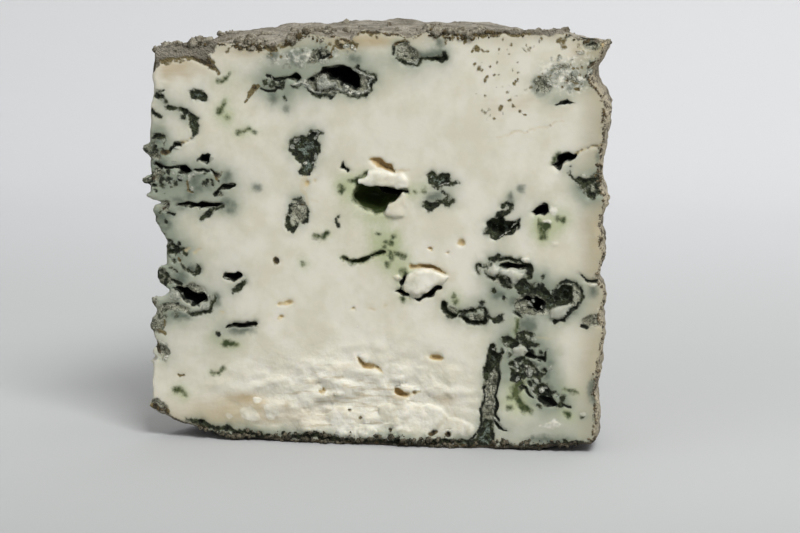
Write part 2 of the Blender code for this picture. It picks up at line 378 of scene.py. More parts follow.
def patch(depth: float, *corners: float) -> Patch:
    """A mark with a cornered outline, from its depth and each corner's along and height."""
    return Patch(depth, tuple(zip(corners[::2], corners[1::2])))


def balls(depth: float, *rows: tuple[float, ...]) -> tuple[Ball, ...]:
    """Rounded marks of one depth.

    Args:
        depth: How deep each goes.
        rows: Along, height, half size, and where they matter half height and tilt.

    Returns:
        The marks.
    """
    made = []
    for along, height, half, *rest in rows:
        half_up = rest[0] if rest else half
        tilt = rest[1] if len(rest) > 1 else 0.0
        made.append(Ball(along, height, half, half_up, depth, tilt))
    return tuple(made)


def scatter(depth: float, middle: Triple, reach: Triple, number: int, seed: int) -> tuple[Ball, ...]:
    """Rounded marks strewn over an oval.

    Args:
        depth: How deep each goes.
        middle: Along, height and smallest half size.
        reach: The oval's half length and half height, and the largest half size.
        number: How many.
        seed: What the places are drawn from.

    Returns:
        The marks.
    """
    draws = np.random.default_rng(seed)
    made = []
    for _ in range(number):
        out, turn = math.sqrt(draws.random()), draws.uniform(0.0, 2.0 * math.pi)
        half = middle[2] + (reach[2] - middle[2]) * draws.random() ** 1.6
        along = middle[0] + reach[0] * out * math.cos(turn)
        height = middle[1] + reach[1] * out * math.sin(turn)
        half_up, tilt = half * draws.uniform(0.5, 1.0), draws.uniform(-70.0, 70.0)
        made.append(Ball(along, height, half, half_up, depth, tilt))
    return tuple(made)


@dataclass(frozen=True)
class Knob:
    """A lump of crust that stands out at the ragged tip or beside a hole."""

    along: float
    into: float
    height: float
    half_along: float
    half_into: float
    half_up: float

    def distance(self, along: Array, height: Array, depth: Array) -> Array:
        """Distance from the lump's surface.

        Args:
            along: Places along the face.
            height: Their heights.
            depth: Their depths.

        Returns:
            The distance of each, less than nought inside.
        """
        parts = (
            (along - self.along) / self.half_along,
            (depth - self.into) / self.half_into,
            (height - self.height) / self.half_up,
        )
        whole = np.sqrt(sum(part**2 for part in parts))
        halves = (self.half_along, self.half_into, self.half_up)
        slope = np.sqrt(sum((part / half) ** 2 for part, half in zip(parts, halves)))
        return whole * (whole - 1.0) / np.maximum(slope, 0.02)


@dataclass(frozen=True)
class CutFace:
    """One cut face with everything that marks it."""

    back: bool
    marks: Mapping[Lining, tuple[Mark, ...]]
    glows: Mapping[Glow, tuple[Stain, ...]]
    knobs: tuple[Knob, ...] = ()

    def read(self, places: Array) -> tuple[Array, Array, Array]:
        """Turns places in the wedge's axes to places on this face.

        Args:
            places: One row for each place.

        Returns:
            Distance along the face, height, and depth into the cheese.
        """
        if not self.back:
            return places[:, 0], places[:, 2], places[:, 1]
        cosine, sine = math.cos(WEDGE_ANGLE), math.sin(WEDGE_ANGLE)
        along = places[:, 0] * cosine + places[:, 1] * sine
        return along, places[:, 2], places[:, 0] * sine - places[:, 1] * cosine


# Marks of the front cut face, as the photograph shows them
FRONT_BLACK = (
    patch(14, 39, 81.5, 41.7, 81.9, 43.4, 82.4, 45.1, 81.9, 46.2, 80.4, 47, 79.5, 47.6, 78.4, 47.6, 77.5,
        46.2, 77, 44.2, 77.9, 42.8, 77.9, 42.6, 78.6, 41.7, 79.2, 40.5, 79.1, 39.4, 80.4, 38.5, 80.2,
        37.4, 79.3, 36.9, 78.3, 35.9, 78.3, 35.6, 79.1, 36.3, 79.6, 37.9, 80.1, 38.8, 80.9),
    patch(8, 30.2, 79.8, 32.1, 80.1, 33.3, 80.9, 34.4, 79.7, 33.3, 78.6, 32.6, 79.1, 31.5, 79.2),
    path(1.2, 26.8, 79.7, .35, 27.8, 79.2, .25, 28.4, 79.2, .4, 30.8, 79.5, .3),
    patch(1.5, 28.4, 78.1, 29.9, 77.8, 29.3, 77.2, 28.7, 77.4),
    path(.8, 25.4, 77, .15, 27.2, 76.6, .35, 28.6, 76.6, .3, 29.5, 77.4, .2),
    path(1.8, 38.1, 83.1, .3, 38.3, 84.6, .3), path(1.8, 38.5, 83.4, .3, 40.5, 84.4, .25),
    patch(5, 10.8, 61.2, 11.5, 62.2, 12.3, 63, 12.8, 62.8, 13.5, 63.2, 14, 62.9, 13.6, 62.2, 13.6, 61.6,
        14.1, 61.3, 13.4, 60.8, 12.7, 61.3, 11.5, 61.4),
    path(2.5, 5.1, 63.6, .3, 5.3, 64.3, .3, 6.1, 64.8, .35, 7.6, 64.9, .3),
    path(2.5, 2.1, 60.2, .3, 3.4, 59.9, .35, 4.6, 59.8, .25, 7.4, 59.8, .25),
    patch(6, 6.8, 58.8, 7.1, 60.1, 8.7, 60.3, 9.4, 59.7, 10.9, 59.5, 10, 59.1, 8.6, 58.5, 7.5, 58.6),
    path(1.5, 10.6, 59.5, .3, 12.4, 59.7, .2, 13.3, 59.4, .3, 14.3, 59.5, .3, 15.2, 58.7, .25),
    patch(6, 11, 52, 12, 52.6, 13.7, 52.2, 14.8, 52, 13.7, 51.2, 12.7, 51.1, 11.7, 50.4, 11.4, 51.1),
    path(3, 6.6, 51.8, .2, 8.3, 52.1, .35, 9, 52.2, .3, 9.8, 51.7, .35, 11.3, 51.8, .4),
    path(3, 14.2, 51.8, .35, 16.7, 52, .2),
    path(2, 15, 54.1, .35, 15.8, 55, .3, 16.8, 55.9, .35, 17.9, 55.9, .3, 19.4, 56.1, .3),
    path(1, 4.2, 50.3, .2, 6.1, 49.9, .25),
    patch(9, 5.4, 33.6, 6.3, 33.9, 7.5, 33.8, 8.7, 33.4, 9.6, 32.7, 10.5, 32.3, 11.7, 32.5, 12.4, 32.5,
        12.9, 31.9, 13.6, 30.8, 12.3, 30.5, 11.5, 30, 11.1, 29.4, 10.2, 29.3, 9.3, 29.7, 9, 30.2, 7.5, 30.9,
        7.2, 32.2, 6.2, 32.8),
    Ball(3.4, 34.2, .6, .5, .8), path(.8, 4.8, 35, .25, 6.1, 34.8, .4, 7.4, 34.3, .3),
    Ball(6.5, 29.8, .45, .3, .5),
    patch(6, 16.9, 36, 17.1, 36.9, 18.4, 37.2, 19.3, 37, 20, 37.4, 20.9, 36.7, 20.3, 35.9, 19.2, 35.1,
        18.4, 35.7, 17.5, 35.9),
    path(3, 17.3, 25.2, .15, 18.5, 25.6, .3, 20.1, 25.7, .4, 21.5, 25.6, .4, 24, 25.8, .4),
    patch(3.5, 41.8, 60, 42.6, 60.4, 43.2, 61.7, 44, 60.4, 45.2, 60.3, 44.6, 59.3, 43.5, 60),
    patch(14, 50.2, 56.9, 52.3, 56.3, 54.9, 56, 57.2, 55.6, 57.9, 54.7, 56.3, 54.8, 54.6, 54.3, 50.6, 55),
    path(1.2, 64.7, 57.5, .2, 66, 57.9, .25), path(4, 56.2, 35.7, .4, 56.9, 36.6, .5),
    path(1, 56.2, 35.6, .15, 55.8, 34.2, .15),
    patch(5, 54.6, 33.8, 55.8, 34.2, 57.9, 33.7, 57.9, 32.7, 56.4, 33.2),
    patch(5, 57.9, 32.5, 60, 32.9, 61.8, 33.6, 62.8, 34.7, 64.8, 35.4, 65.1, 34.8, 63.6, 34.2, 63.2, 33.3,
        62.2, 32.6, 60, 32.1),
    patch(8, 83.8, 51.3, 85, 52.5, 86.8, 53.2, 87.5, 53, 88.1, 51.9, 87.1, 50.8, 86.2, 51, 85.3, 50.6),
    patch(3.5, 77.4, 40.1, 79.3, 40.8, 81.6, 40.6, 83.3, 39.8, 81.6, 39.3, 79.9, 39.6, 78.1, 39.3),
    patch(9, 80.6, 32.3, 82.4, 33.2, 83.5, 33.5, 85.6, 33.4, 86.7, 32.4, 87.2, 31.1, 86.4, 30.3, 85.3, 30,
        84.2, 30.6, 82.8, 31, 82.7, 31.5, 83.9, 31.7, 83.9, 32.3, 82.4, 32.4),
    path(1.5, 95.1, 38, .2, 95.8, 37.3, .3, 96.9, 37, .35, 98.3, 37, .35),
    path(.8, 95, 27.4, .4, 96.3, 27.1, .3),
    path(1, 94.5, 32.5, .25, 93.1, 31, .3, 92.1, 30.1, .3, 91.1, 28.8, .3, 88.9, 28.3, .3),
    patch(9, 88.2, 61.7, 89.2, 62.5, 89.4, 63.7, 90, 64.1, 91.8, 64.4, 92.7, 63.9, 93.4, 64.2, 93.5, 63.5,
        92.9, 62.7, 92.1, 62.3, 91.2, 62.2, 90.6, 61.8, 90, 60.8, 89.4, 61.2),
    Ball(92.3, 61.4, .35, .3, .8), Ball(98.9, 60.9, .3, .7, .5),
    patch(4, 89, 74.1, 90.2, 75, 91.2, 75.2, 91.5, 75.7, 91.9, 75.3, 93.2, 74.8, 92.2, 74.4, 91.1, 74.2),
    patch(2.5, 82.3, 20.4, 83.3, 21, 84, 21.3, 85.2, 20.9, 87.4, 20.7, 87.3, 19.8, 85.3, 20.2, 83.4, 20.3),
    path(1, 83.7, 22.2, .3, 83.9, 21, .35), path(1.2, 82.5, 14, .22, 83.4, 12.9, .28, 84.8, 11.3, .25),
    patch(2.5, 85.5, 11.1, 86.3, 12.3, 87.4, 11.7, 89.1, 11.9, 89.1, 11.2, 90.3, 10.9, 89.9, 9.7, 88.4, 9.8,
        86.8, 10.3),
    path(.6, 91.3, 10.1, .3, 92.8, 9.9, .15),
    path(1.2, 74.2, 13.6, .3, 74.3, 12, .2, 73.7, 9.9, .25, 73.3, 8.7, .25, 73.6, 7.5, .25, 73.4, 6.2, .3,
        73.6, 5.3, .25, 72.9, 3.8, .25, 71.6, 2.4, .3, 70.7, .9, .35),
    path(1.2, 77.2, 16.2, .3, 77.4, 15.2, .3, 76.7, 12.7, .2, 76.7, 11.4, .25, 77.2, 10, .3, 76.6, 8.3, .3,
        76.6, 7.4, .25, 77.6, 6.5, .2),
    path(1.2, 76.3, 6.6, .25, 77.4, 5.1, .3, 79.2, 4.3, .25),
    path(.5, 91.1, 88.6, .2, 92.8, 89.2, .2, 95, 88.5, .3, 96.8, 88.3, .25),
    path(.4, 96.2, 86.8, .2, 96.6, 87.4, .25), *scatter(.5, (38, 1.2, .2), (33, .8, .6), 55, 1),
    *scatter(.6, (84.5, 18.6, .2), (3.6, 5, .6), 14, 2), *scatter(.5, (88.2, 11.6, .2), (3, 1.8, .5), 8, 3),
    *scatter(.5, (3.2, 57, .2), (3, 4, .45), 8, 4), *scatter(.5, (86, 34.6, .2), (4, 1.6, .5), 7, 5),
    *scatter(.6, (37.4, 84.4, .15), (1.4, 1.2, .4), 7, 6),
    *balls(.8, (1.4, 66.8, .35), (1.9, 64.1, .4), (7.2, 57.1, .4), (36.5, 66.9, .5), (37.2, 67.4, .3),
        (57, 84.5, .4), (58.4, 83.9, .5, .3, 25), (52.8, 1.2, .6, .4), (55.4, .9, .8, .35),
        (43.3, 1.2, .8, .5), (68.6, 1.8, .6, .3), (24.6, 1.6, .5), (17, 2.6, .5), (11, 4, .5)),
)
FRONT_MOULD = (
    patch(.7, 9.5, 76.4, 11, 76.9, 12.6, 76.9, 13.5, 75.4, 13.3, 74.4, 11.7, 74.5, 10.2, 74.5, 9.8, 75.4),
    *scatter(.6, (83.6, 18.4, .3), (4.4, 5.6, .9), 26, 21),
    *scatter(.6, (88.4, 11.4, .3), (3.4, 2.2, .8), 10, 22),
    *scatter(.6, (80.4, 23.6, .3), (3, 1.6, .7), 9, 23),
    *scatter(.6, (2.2, 47.4, .3), (2.4, 3.4, .8), 9, 24),
    *scatter(.6, (3.6, 57.4, .3), (3.4, 3, .8), 11, 25), *scatter(.6, (6.6, 41.6, .3), (4, 2.6, .7), 9, 26),
    *scatter(.4, (.2, 63.9, .3), (1.5, 1.3, .7), 9, 32), *scatter(.4, (0, 57, .3), (1.6, 1, .6), 9, 33),
    *scatter(.4, (2.6, 36, .3), (1.4, 2.4, .8), 10, 34), *scatter(.6, (2.2, 65, .3), (1.8, 3, .7), 7, 27),
    *scatter(.6, (11.4, 57.6, .2), (5, 2.2, .5), 8, 28),
    *scatter(.6, (85.6, 35.6, .3), (5, 2.2, .7), 10, 29), *scatter(.5, (5, 28, .2), (4, 2, .5), 7, 30),
    *scatter(.5, (28.4, 78, .2), (3.4, 1.3, .6), 15, 35),
    path(.5, 3.7, 76.4, .2, 2.7, 76.1, .3, 2.2, 75.4, .3, 3.6, 75, .3),
    *balls(.5, (4.4, 74.2, .6, .35, -20), (5.8, 72.9, 1.7, .65, -8), (8.4, 70.8, .6, .4)),
    path(.6, 7.5, 72.5, .45, 8.8, 71.8, .4),
    patch(.8, 9.3, 71.2, 10.3, 71.4, 11.6, 70.9, 11.3, 69.9, 11.5, 68.8, 11.1, 67.2, 10.2, 66.5, 9.9, 67.9,
        9.6, 69.2),
    path(.7, 1.3, 72.3, .35, 2, 71.4, .45, 3.4, 70.7, .4),
    path(.5, 31.9, 77.9, .12, 33, 77.5, .2, 34.4, 77.9, .12),
    path(.6, 35.5, 77.9, .15, 36.2, 76.8, .25, 37.3, 75.9, .34, 38.8, 75.8, .28, 39.9, 75.9, .2,
        40.8, 75.7, .28, 42.1, 76.3, .18, 43.5, 76.3, .18, 45, 75.7, .22, 47.2, 75.8, .22, 48.7, 76.2, .28,
        49.5, 77.2, .25, 49.4, 78.5, .2, 50.5, 79.2, .3, 50.5, 80.1, .25, 49, 80.4, .15, 47.2, 80.9, .15,
        46.1, 81.9, .15, 46.6, 82.4, .12),
    patch(1.1, 31.7, 64.3, 31.8, 65.7, 33.2, 66.8, 34.5, 67, 35.6, 66.6, 36.1, 67.8, 37.2, 68.4, 38.6, 68.3,
        39.1, 67.7, 38.5, 67, 37.7, 66.1, 38.6, 65, 38.3, 63.6, 37.4, 62.8, 37.1, 61.4, 36.6, 59.8, 36, 58.8,
        34.2, 58.8, 33.9, 59.9, 34.2, 61, 33, 62, 32.4, 63),
    path(.6, 32.9, 53.2, .2, 33.6, 53.7, .35, 34.1, 54.1, .3),
    path(.6, 32.3, 53.1, .2, 31.7, 52, .2, 31.6, 50.9, .2, 31.1, 50, .25, 31.2, 48.9, .6, 31.3, 47.4, .6,
        32.2, 46.7, .5, 32.9, 47.2, .4, 33.2, 48, .2),
    path(.5, 35.4, 51.6, .15, 35.7, 50.6, .25, 35.4, 49.4, .2, 34.5, 48.2, .25),
    path(.5, 42.2, 49.6, .3, 41.7, 49, .25, 42.4, 47.9, .25),
    patch(1.1, 61.8, 59.3, 62.8, 59.8, 64.1, 58.8, 65.1, 59.5, 66.5, 59.3, 66.8, 58.1, 67.9, 57.9,
        68.6, 57.3, 67.9, 56.9, 66.5, 57.2, 64.9, 56.8, 63.9, 55.6, 63.2, 56.5, 62.2, 57.1),
    path(.9, 61.2, 52.8, .7, 62.3, 52.3, .7, 63.6, 53, .45, 65.3, 53.4, .35, 66.1, 52.8, .5, 67.3, 53.5, .4),
    path(.7, 65.8, 53.6, .3, 66.3, 54.8, .25, 65.1, 55.2, .3),
    path(.8, 77.8, 52.4, .35, 78.6, 53.1, .25, 79.9, 53.1, .35, 79.2, 51.5, .3, 78.2, 51.1, .3,
        76.9, 50.6, .4),
    patch(4, 74.3, 49.3, 75.2, 49.7, 76.4, 49.6, 76.6, 50.6, 77.6, 50.7, 78.4, 49.4, 80, 49.3, 81.7, 49.8,
        81.3, 48.3, 79.9, 46.6, 78.4, 45.7, 76.3, 45.1, 75.1, 46.3, 74, 46.8, 74.5, 48.2),
    path(.9, 75.2, 41.3, .35, 76.3, 41, .45, 77.1, 42.3, .3),
    path(1.2, 77.3, 41.1, .4, 79.5, 41.6, .35, 81.8, 41.2, .45, 83.2, 40.2, .5, 83.8, 39.1, .45,
        83.4, 37.9, .4),
    path(1, 75.2, 40.1, .25, 73.5, 39.4, .2, 72.9, 40.1, .2, 72.3, 39.6, .3, 72.9, 38.4, .3),
    path(.8, 74.3, 38.4, .25, 75.2, 37.2, .3, 76.3, 37.2, .25, 77, 38, .2),
    path(.9, 77.5, 37.3, .3, 78.1, 36, .3, 79.9, 35.3, .3), path(.9, 78.8, 37.6, .3, 79.4, 36.8, .35),
    patch(1.1, 80.7, 36.5, 82.4, 37.3, 83.4, 36.2, 84.4, 35.3, 86.2, 35.9, 87.2, 35.2, 88.4, 33.5, 89.3, 32,
        88.9, 30.9, 87.4, 31, 86.8, 33.2, 84, 34, 81.9, 34.4, 80.4, 35.4),
    path(.8, 80.7, 30, .3, 81.9, 29.1, .3),
    patch(3.2, 89.2, 33.2, 89.8, 35.3, 90.8, 36.4, 92.7, 36.3, 93.1, 34.1, 92.7, 32.4, 90.3, 31.8,
        89.3, 31.4),
    path(.9, 88.6, 33.6, .2, 89.3, 35.5, .22, 90.3, 36.8, .22, 91.5, 37.2, .2, 93.5, 36.7, .2,
        94.6, 35.7, .2, 95.1, 34.1, .25, 94.8, 32.7, .25),
    path(1.6, 65.6, 31.6, .6, 65.5, 30.4, .6, 66.4, 29.1, .55, 67.8, 29, .55, 68.6, 29.9, .45),
    path(1.6, 68.4, 29.9, .45, 69.8, 29.9, .5, 72, 30, .45, 73.2, 30.6, .4, 74.6, 30.4, .45, 74.6, 28.8, .35,
        74.2, 27.4, .5, 72.4, 27.3, .4, 70.4, 27.9, .5, 69.4, 28.8, .5),
    path(.7, 73, 32.2, .2, 74, 32.2, .3, 73.3, 31.4, .2),
    path(.6, 74.9, 29.1, .25, 76.4, 28, .4, 77.8, 29, .35, 77.9, 28, .35, 76.4, 27.8, .3),
    path(1.4, 75.9, 22.9, .4, 75.7, 21.6, .8, 76, 20.2, 1.1, 75.4, 18.6, .9, 74.7, 17, .6, 74.5, 15.6, .5),
    path(1.2, 77.9, 21.5, .35, 77, 20.3, .6, 77, 18.5, .35, 77.2, 16.6, .3),
    path(1.2, 75, 5.6, 1, 74.6, 3, 1.7, 74, .2, 2.9),
    path(.8, 78, 24.1, .25, 79.7, 24.1, .5, 81, 23.5, .4, 80.6, 22.2, .4, 79.6, 23, .4),
    path(.8, 81.8, 25.2, .35, 83.1, 25.5, .4, 84.5, 25.2, .35),
    path(.8, 84.9, 23, .35, 83.8, 23.6, .4, 83.2, 22.6, .35),
    path(.9, 80, 18.7, .5, 81.5, 18.5, .5, 81.6, 17, .4, 80.6, 16.2, .5, 79.9, 17.2, .4),
    path(.8, 82.8, 19.4, .3, 83.2, 18, .3, 83.1, 16.4, .4, 84.6, 16.6, .3, 86, 15.9, .4, 86.4, 16.8, .25),
    path(.7, 84.2, 18.9, .3, 85.4, 17.7, .3),
    patch(.8, 84.6, 13, 85.8, 14.9, 87.4, 14.6, 88.6, 12.6, 87.2, 12, 86, 12.2),
    Ball(90.7, 10.4, .7, .8, .4), *scatter(.7, (97.2, 57.4, .4), (2.4, 3, .9), 14, 31),
    path(.9, 91.9, 60.1, .3, 92.5, 59.3, .3, 93.6, 58.5, .4, 94.8, 58.1, .8, 96, 58, 1, 97.3, 58.6, .7,
        98.4, 59.2, .3),
    path(.9, 7.4, 38.8, .2, 8.4, 37.8, .3, 9.2, 36.9, .35, 10.3, 36.6, .3, 10.9, 37, .35, 11.1, 38.4, .3),
    path(.6, 5, 37.7, .2, 5.5, 37.3, .25, 6.4, 36.9, .25),
    path(.8, 4.6, 43.8, .3, 5.6, 42.7, .5, 6.5, 42.3, .5, 6.8, 41.5, .5, 7.8, 42, .4),
    path(.8, 3.6, 42.3, .25, 5.1, 41.2, .35, 6.4, 41, .4),
    path(1, 9.2, 28.1, .3, 10.9, 27.7, .35, 12.5, 28.4, .35, 13.9, 28.9, .4, 14.1, 30.3, .4,
        14.6, 31.6, .35),
    path(.8, 21.4, 35.3, .3, 21.2, 34.4, .4, 20, 33.5, .7, 19, 33.1, .5),
    path(.5, 12.2, 48.8, .35, 13.6, 49.8, .5, 14.6, 50.8, .45, 16, 51.4, .35, 17.2, 51.5, .3),
    path(.7, 54.5, 84.9, .15, 54.4, 86.5, .2, 54.8, 86.9, .2),
    path(1.2, 55.2, 84.1, .2, 55.8, 83.4, .35, 57, 82.8, .35, 58.3, 82.4, .35, 59.3, 82.5, .35,
        60.3, 83.6, .4, 61.7, 83.6, .4, 63.3, 83.8, .35, 64.8, 83.6, .5, 65.7, 84, .4, 65.4, 84.8, .3),
    path(.5, 8, 4.3, .2, 9.7, 4.4, .5, 11.4, 3.7, .7, 12.9, 2.9, .5, 14.8, 2.5, .35, 16.6, 2.8, .45,
        18.9, 2, .5, 21.8, 1.9, .6, 23.2, 1.4, .45, 25.7, 1.5, .45, 28.3, .8, .35, 31, .7, .3, 33.2, 1.3, .5,
        35.2, 1.7, .6, 37.4, 2, .7, 40.4, 1.1, .5, 43.4, 1.1, .7, 46, .4, .4, 50.8, .9, .8, 53, .9, .5,
        56, .6, .5, 60, .5, .4, 64.6, 1.2, .5, 68.6, 1.4, .6, 71, .8, .9),
    path(.4, 78.6, .8, .7, 82, .6, .35, 86, .9, .3, 91, 1.6, .6, 92.5, 1.9, .3, 96, 1.9, .3),
    *balls(.5, (91.5, 2.5, .6, .4), (95.4, 8.1, .45), (30.7, 75, .3, .5), (15.5, 23.7, .5, .55),
        (75.9, 34.6, .5, .4), (78.3, 32.7, .45, .7, -10), (86.5, 35.7, .6, .4), (96.6, 82.8, .8, .6),
        (96.4, 80.5, .8, .7), (98.2, 81.8, .5), (1.6, 47.5, .5, .6)),
)
FRONT_CLOUD = (
    *scatter(0, (91.4, 81.6, .3), (5.4, 4.2, .8), 6, 41), *scatter(0, (7, 57, .4), (8, 5, 1.2), 12, 42),
    *scatter(0, (84, 18, .4), (5.4, 6.4, 1), 10, 43), *scatter(0, (32, 83.6, .4), (4.6, 1.6, .9), 7, 44),
    *scatter(0, (3.4, 46, .4), (4, 5, 1), 7, 45), *scatter(0, (87, 32.6, .4), (7, 4, 1.1), 8, 46),
    *balls(0, (28.2, 75.4, .8, 1.3), (27.6, 78.2, 1, .7), (33.9, 65.4, 1.4, 1), (31.2, 72.9, .35),
        (65.3, 84.5, .5), (63.4, 84.6, 2, .8), (60.6, 84.4, 1.6, .5), (64.4, 87, .4, .8),
        (63.2, 54.4, 1.6, .6, 10), (17.9, 52.2, .9, .6), (18.7, 50.8, .7, .5), (19.2, 51.9, .5),
        (3, 49.1, 1.3, 1.2), (4.6, 47.4, .5, .7), (6.8, 53, .9, .25), (2, 66, .8, 1.2), (1.7, 62.7, 1, 1),
        (9, 56.2, .4, 1.2), (10, 54.6, .7, .3), (11.4, 58.2, 1.2, .35, 18), (6.9, 56.9, .8, .5, 50),
        (17.8, 57.6, .6, 1.1, -20), (9.6, 38, .9, .6), (7.2, 36, 1.2, .8), (6.6, 41.9, 1.8, 1),
        # The oval at 97.6 along and 13.5 high on the next line is painted shade in a notch at the face's
        # right edge.
        (83.4, 27.4, 1.7, 1.3), (97.6, 13.5, .9, 2.6), (99, 8, .4, 3), (86, 78.5, 1.9, 1.9),
        (88, 2.4, 4, .5), (77, 33.6, 1.4, .8), (74.9, 47, .6), (79.5, 54.4, .5, .7), (71.4, 28.8, 1.8, .7),
        (84.8, 19.1, 1.3, .6), (91, 30, 2.6, .8, 20), (15.1, 31.2, .6, 1.2), (20.6, 24.6, 2.4, .6),
        (24.5, 55.6, .8, .5), (7, 27.6, 2.2, .7, -8), (98.2, 63.6, .4, .7), (45.4, 83.9, .7, .5),
        (46.7, 83.7, .5), (81.9, 56.4, .5), (97.2, 35.2, .6, 1), (94.8, 56.8, 1, .6)),
)
FRONT_GREY = (
    patch(1.6, 35, 78.6, 35.8, 77.4, 37.3, 76.1, 39.9, 76.1, 40.8, 76, 42.1, 76.5, 43.5, 76.5, 45, 75.9,
        47.2, 76, 48.6, 76.4, 49.2, 77.2, 49.1, 78.5, 50.2, 79.2, 50.2, 80, 49, 80.1, 47.2, 80.6, 46, 81.6,
        44, 81, 38, 80.5),
    patch(.7, 36, 82.6, 36.8, 84.6, 38.4, 86, 40.2, 85.6, 40, 83.8, 38, 82.8),
    patch(.6, .4, 61.4, 2.8, 61.4, 2.4, 63, 1.7, 64.2, 1, 63.2),
    patch(.8, 32.4, 53.2, 34.6, 54, 35.2, 52.4, 35.3, 50, 34.3, 48.2, 32.8, 47.8, 31.8, 49.6, 31.8, 51.6),
    patch(.9, 55.2, 84.2, 55.4, 86.6, 57.2, 87.1, 58.6, 86, 60, 84.4, 59.4, 82.9, 57.2, 83.1),
    path(1.5, 75.9, 17.4, .9, 75.8, 14.6, 1.3, 75.4, 12, 1.2, 75, 8.8, 1.4, 75, 5.5, 1.2),
    patch(.9, 80.5, 31.8, 81.4, 33.4, 83.8, 34.2, 87, 33.4, 88.6, 31.6, 88, 30.2, 85, 29.4, 82, 29.6,
        80.9, 30.6),
    patch(.7, 92.8, 36.8, 94.4, 36.2, 95.1, 34.2, 94.7, 32.3, 93, 31.4, 92.8, 33.2),
    patch(.7, 95, 28.8, 96.4, 29.8, 98.4, 29.6, 98.8, 27.6, 96.6, 27.2, 95.2, 27.8),
    patch(.6, 93.6, 57.4, 95.4, 59.4, 98.6, 60.4, 99, 57.6, 97.6, 55.4, 95.2, 55.8),
    patch(.5, 76, 36.8, 77.6, 38.6, 79.8, 37.4, 80.8, 36.6, 79.8, 35.3, 78, 36),
    patch(.8, 8.2, 33.8, 9.2, 34.8, 10.2, 34.6, 12.4, 32.8, 11.6, 32.4, 10.2, 32.3, 9.4, 32.8),
    patch(.6, 2, 34, 2, 37.4, 2.5, 37.9, 3.9, 37.2, 4.2, 35.6, 6.6, 34.8, 5, 34.4),
    path(.8, 1.8, 28.4, .5, 4.3, 29.3, .5, 6.5, 29, .5, 8.4, 28.7, .5),
    patch(.5, .2, 29.4, 1.8, 29, 3, 27.8, 3.6, 25.4, 2.4, 23.6, .2, 23.4),
    patch(1.2, 2.6, 21.4, 4, 20.6, 4.3, 18.2, 3.6, 17.2, 2.2, 17.2, 2.4, 19.4),
    path(.8, .4, 21.2, .5, 1.6, 20.8, .4, 2.3, 20.2, .4, 2.4, 18.4, .4),
    patch(.6, 0, 8.8, 1.8, 8.6, 3.4, 7, 4.4, 5, 2.8, 5.4, .4, 6.8),
    patch(.5, 84.4, 79.4, 86, 80.8, 87.8, 80.2, 88.2, 78.2, 87, 76.8, 84.8, 77.2),
    *balls(.3, (-.4, 64, 1.5, 1.1), (-.6, 57, 1.6, .9), (.6, 30.2, 1.2, 1.1), (.8, 24.4, 1.5, .9)),
    *balls(.5, (2.6, 58.4, .7, .8), (1.2, 57.6, .8, 1), (15.6, 58.3, .9, .5, -40), (16.2, 54.1, .6, .5),
        (4, 51.6, .8, 1.2, -30), (83.8, 18.2, 1.6, 1.3), (82, 22.9, 1.4, .8), (85.6, 13.7, 1.2, .8, 30),
        (74.6, 39.8, .9, .5), (90.2, 82, 1.6, .5), (92.4, 79.4, 1.4, .9), (96.6, 87, 1.6, 1),
        (67.1, 30.2, 1, .6), (72.4, 28.6, 1.6, .7)),
)
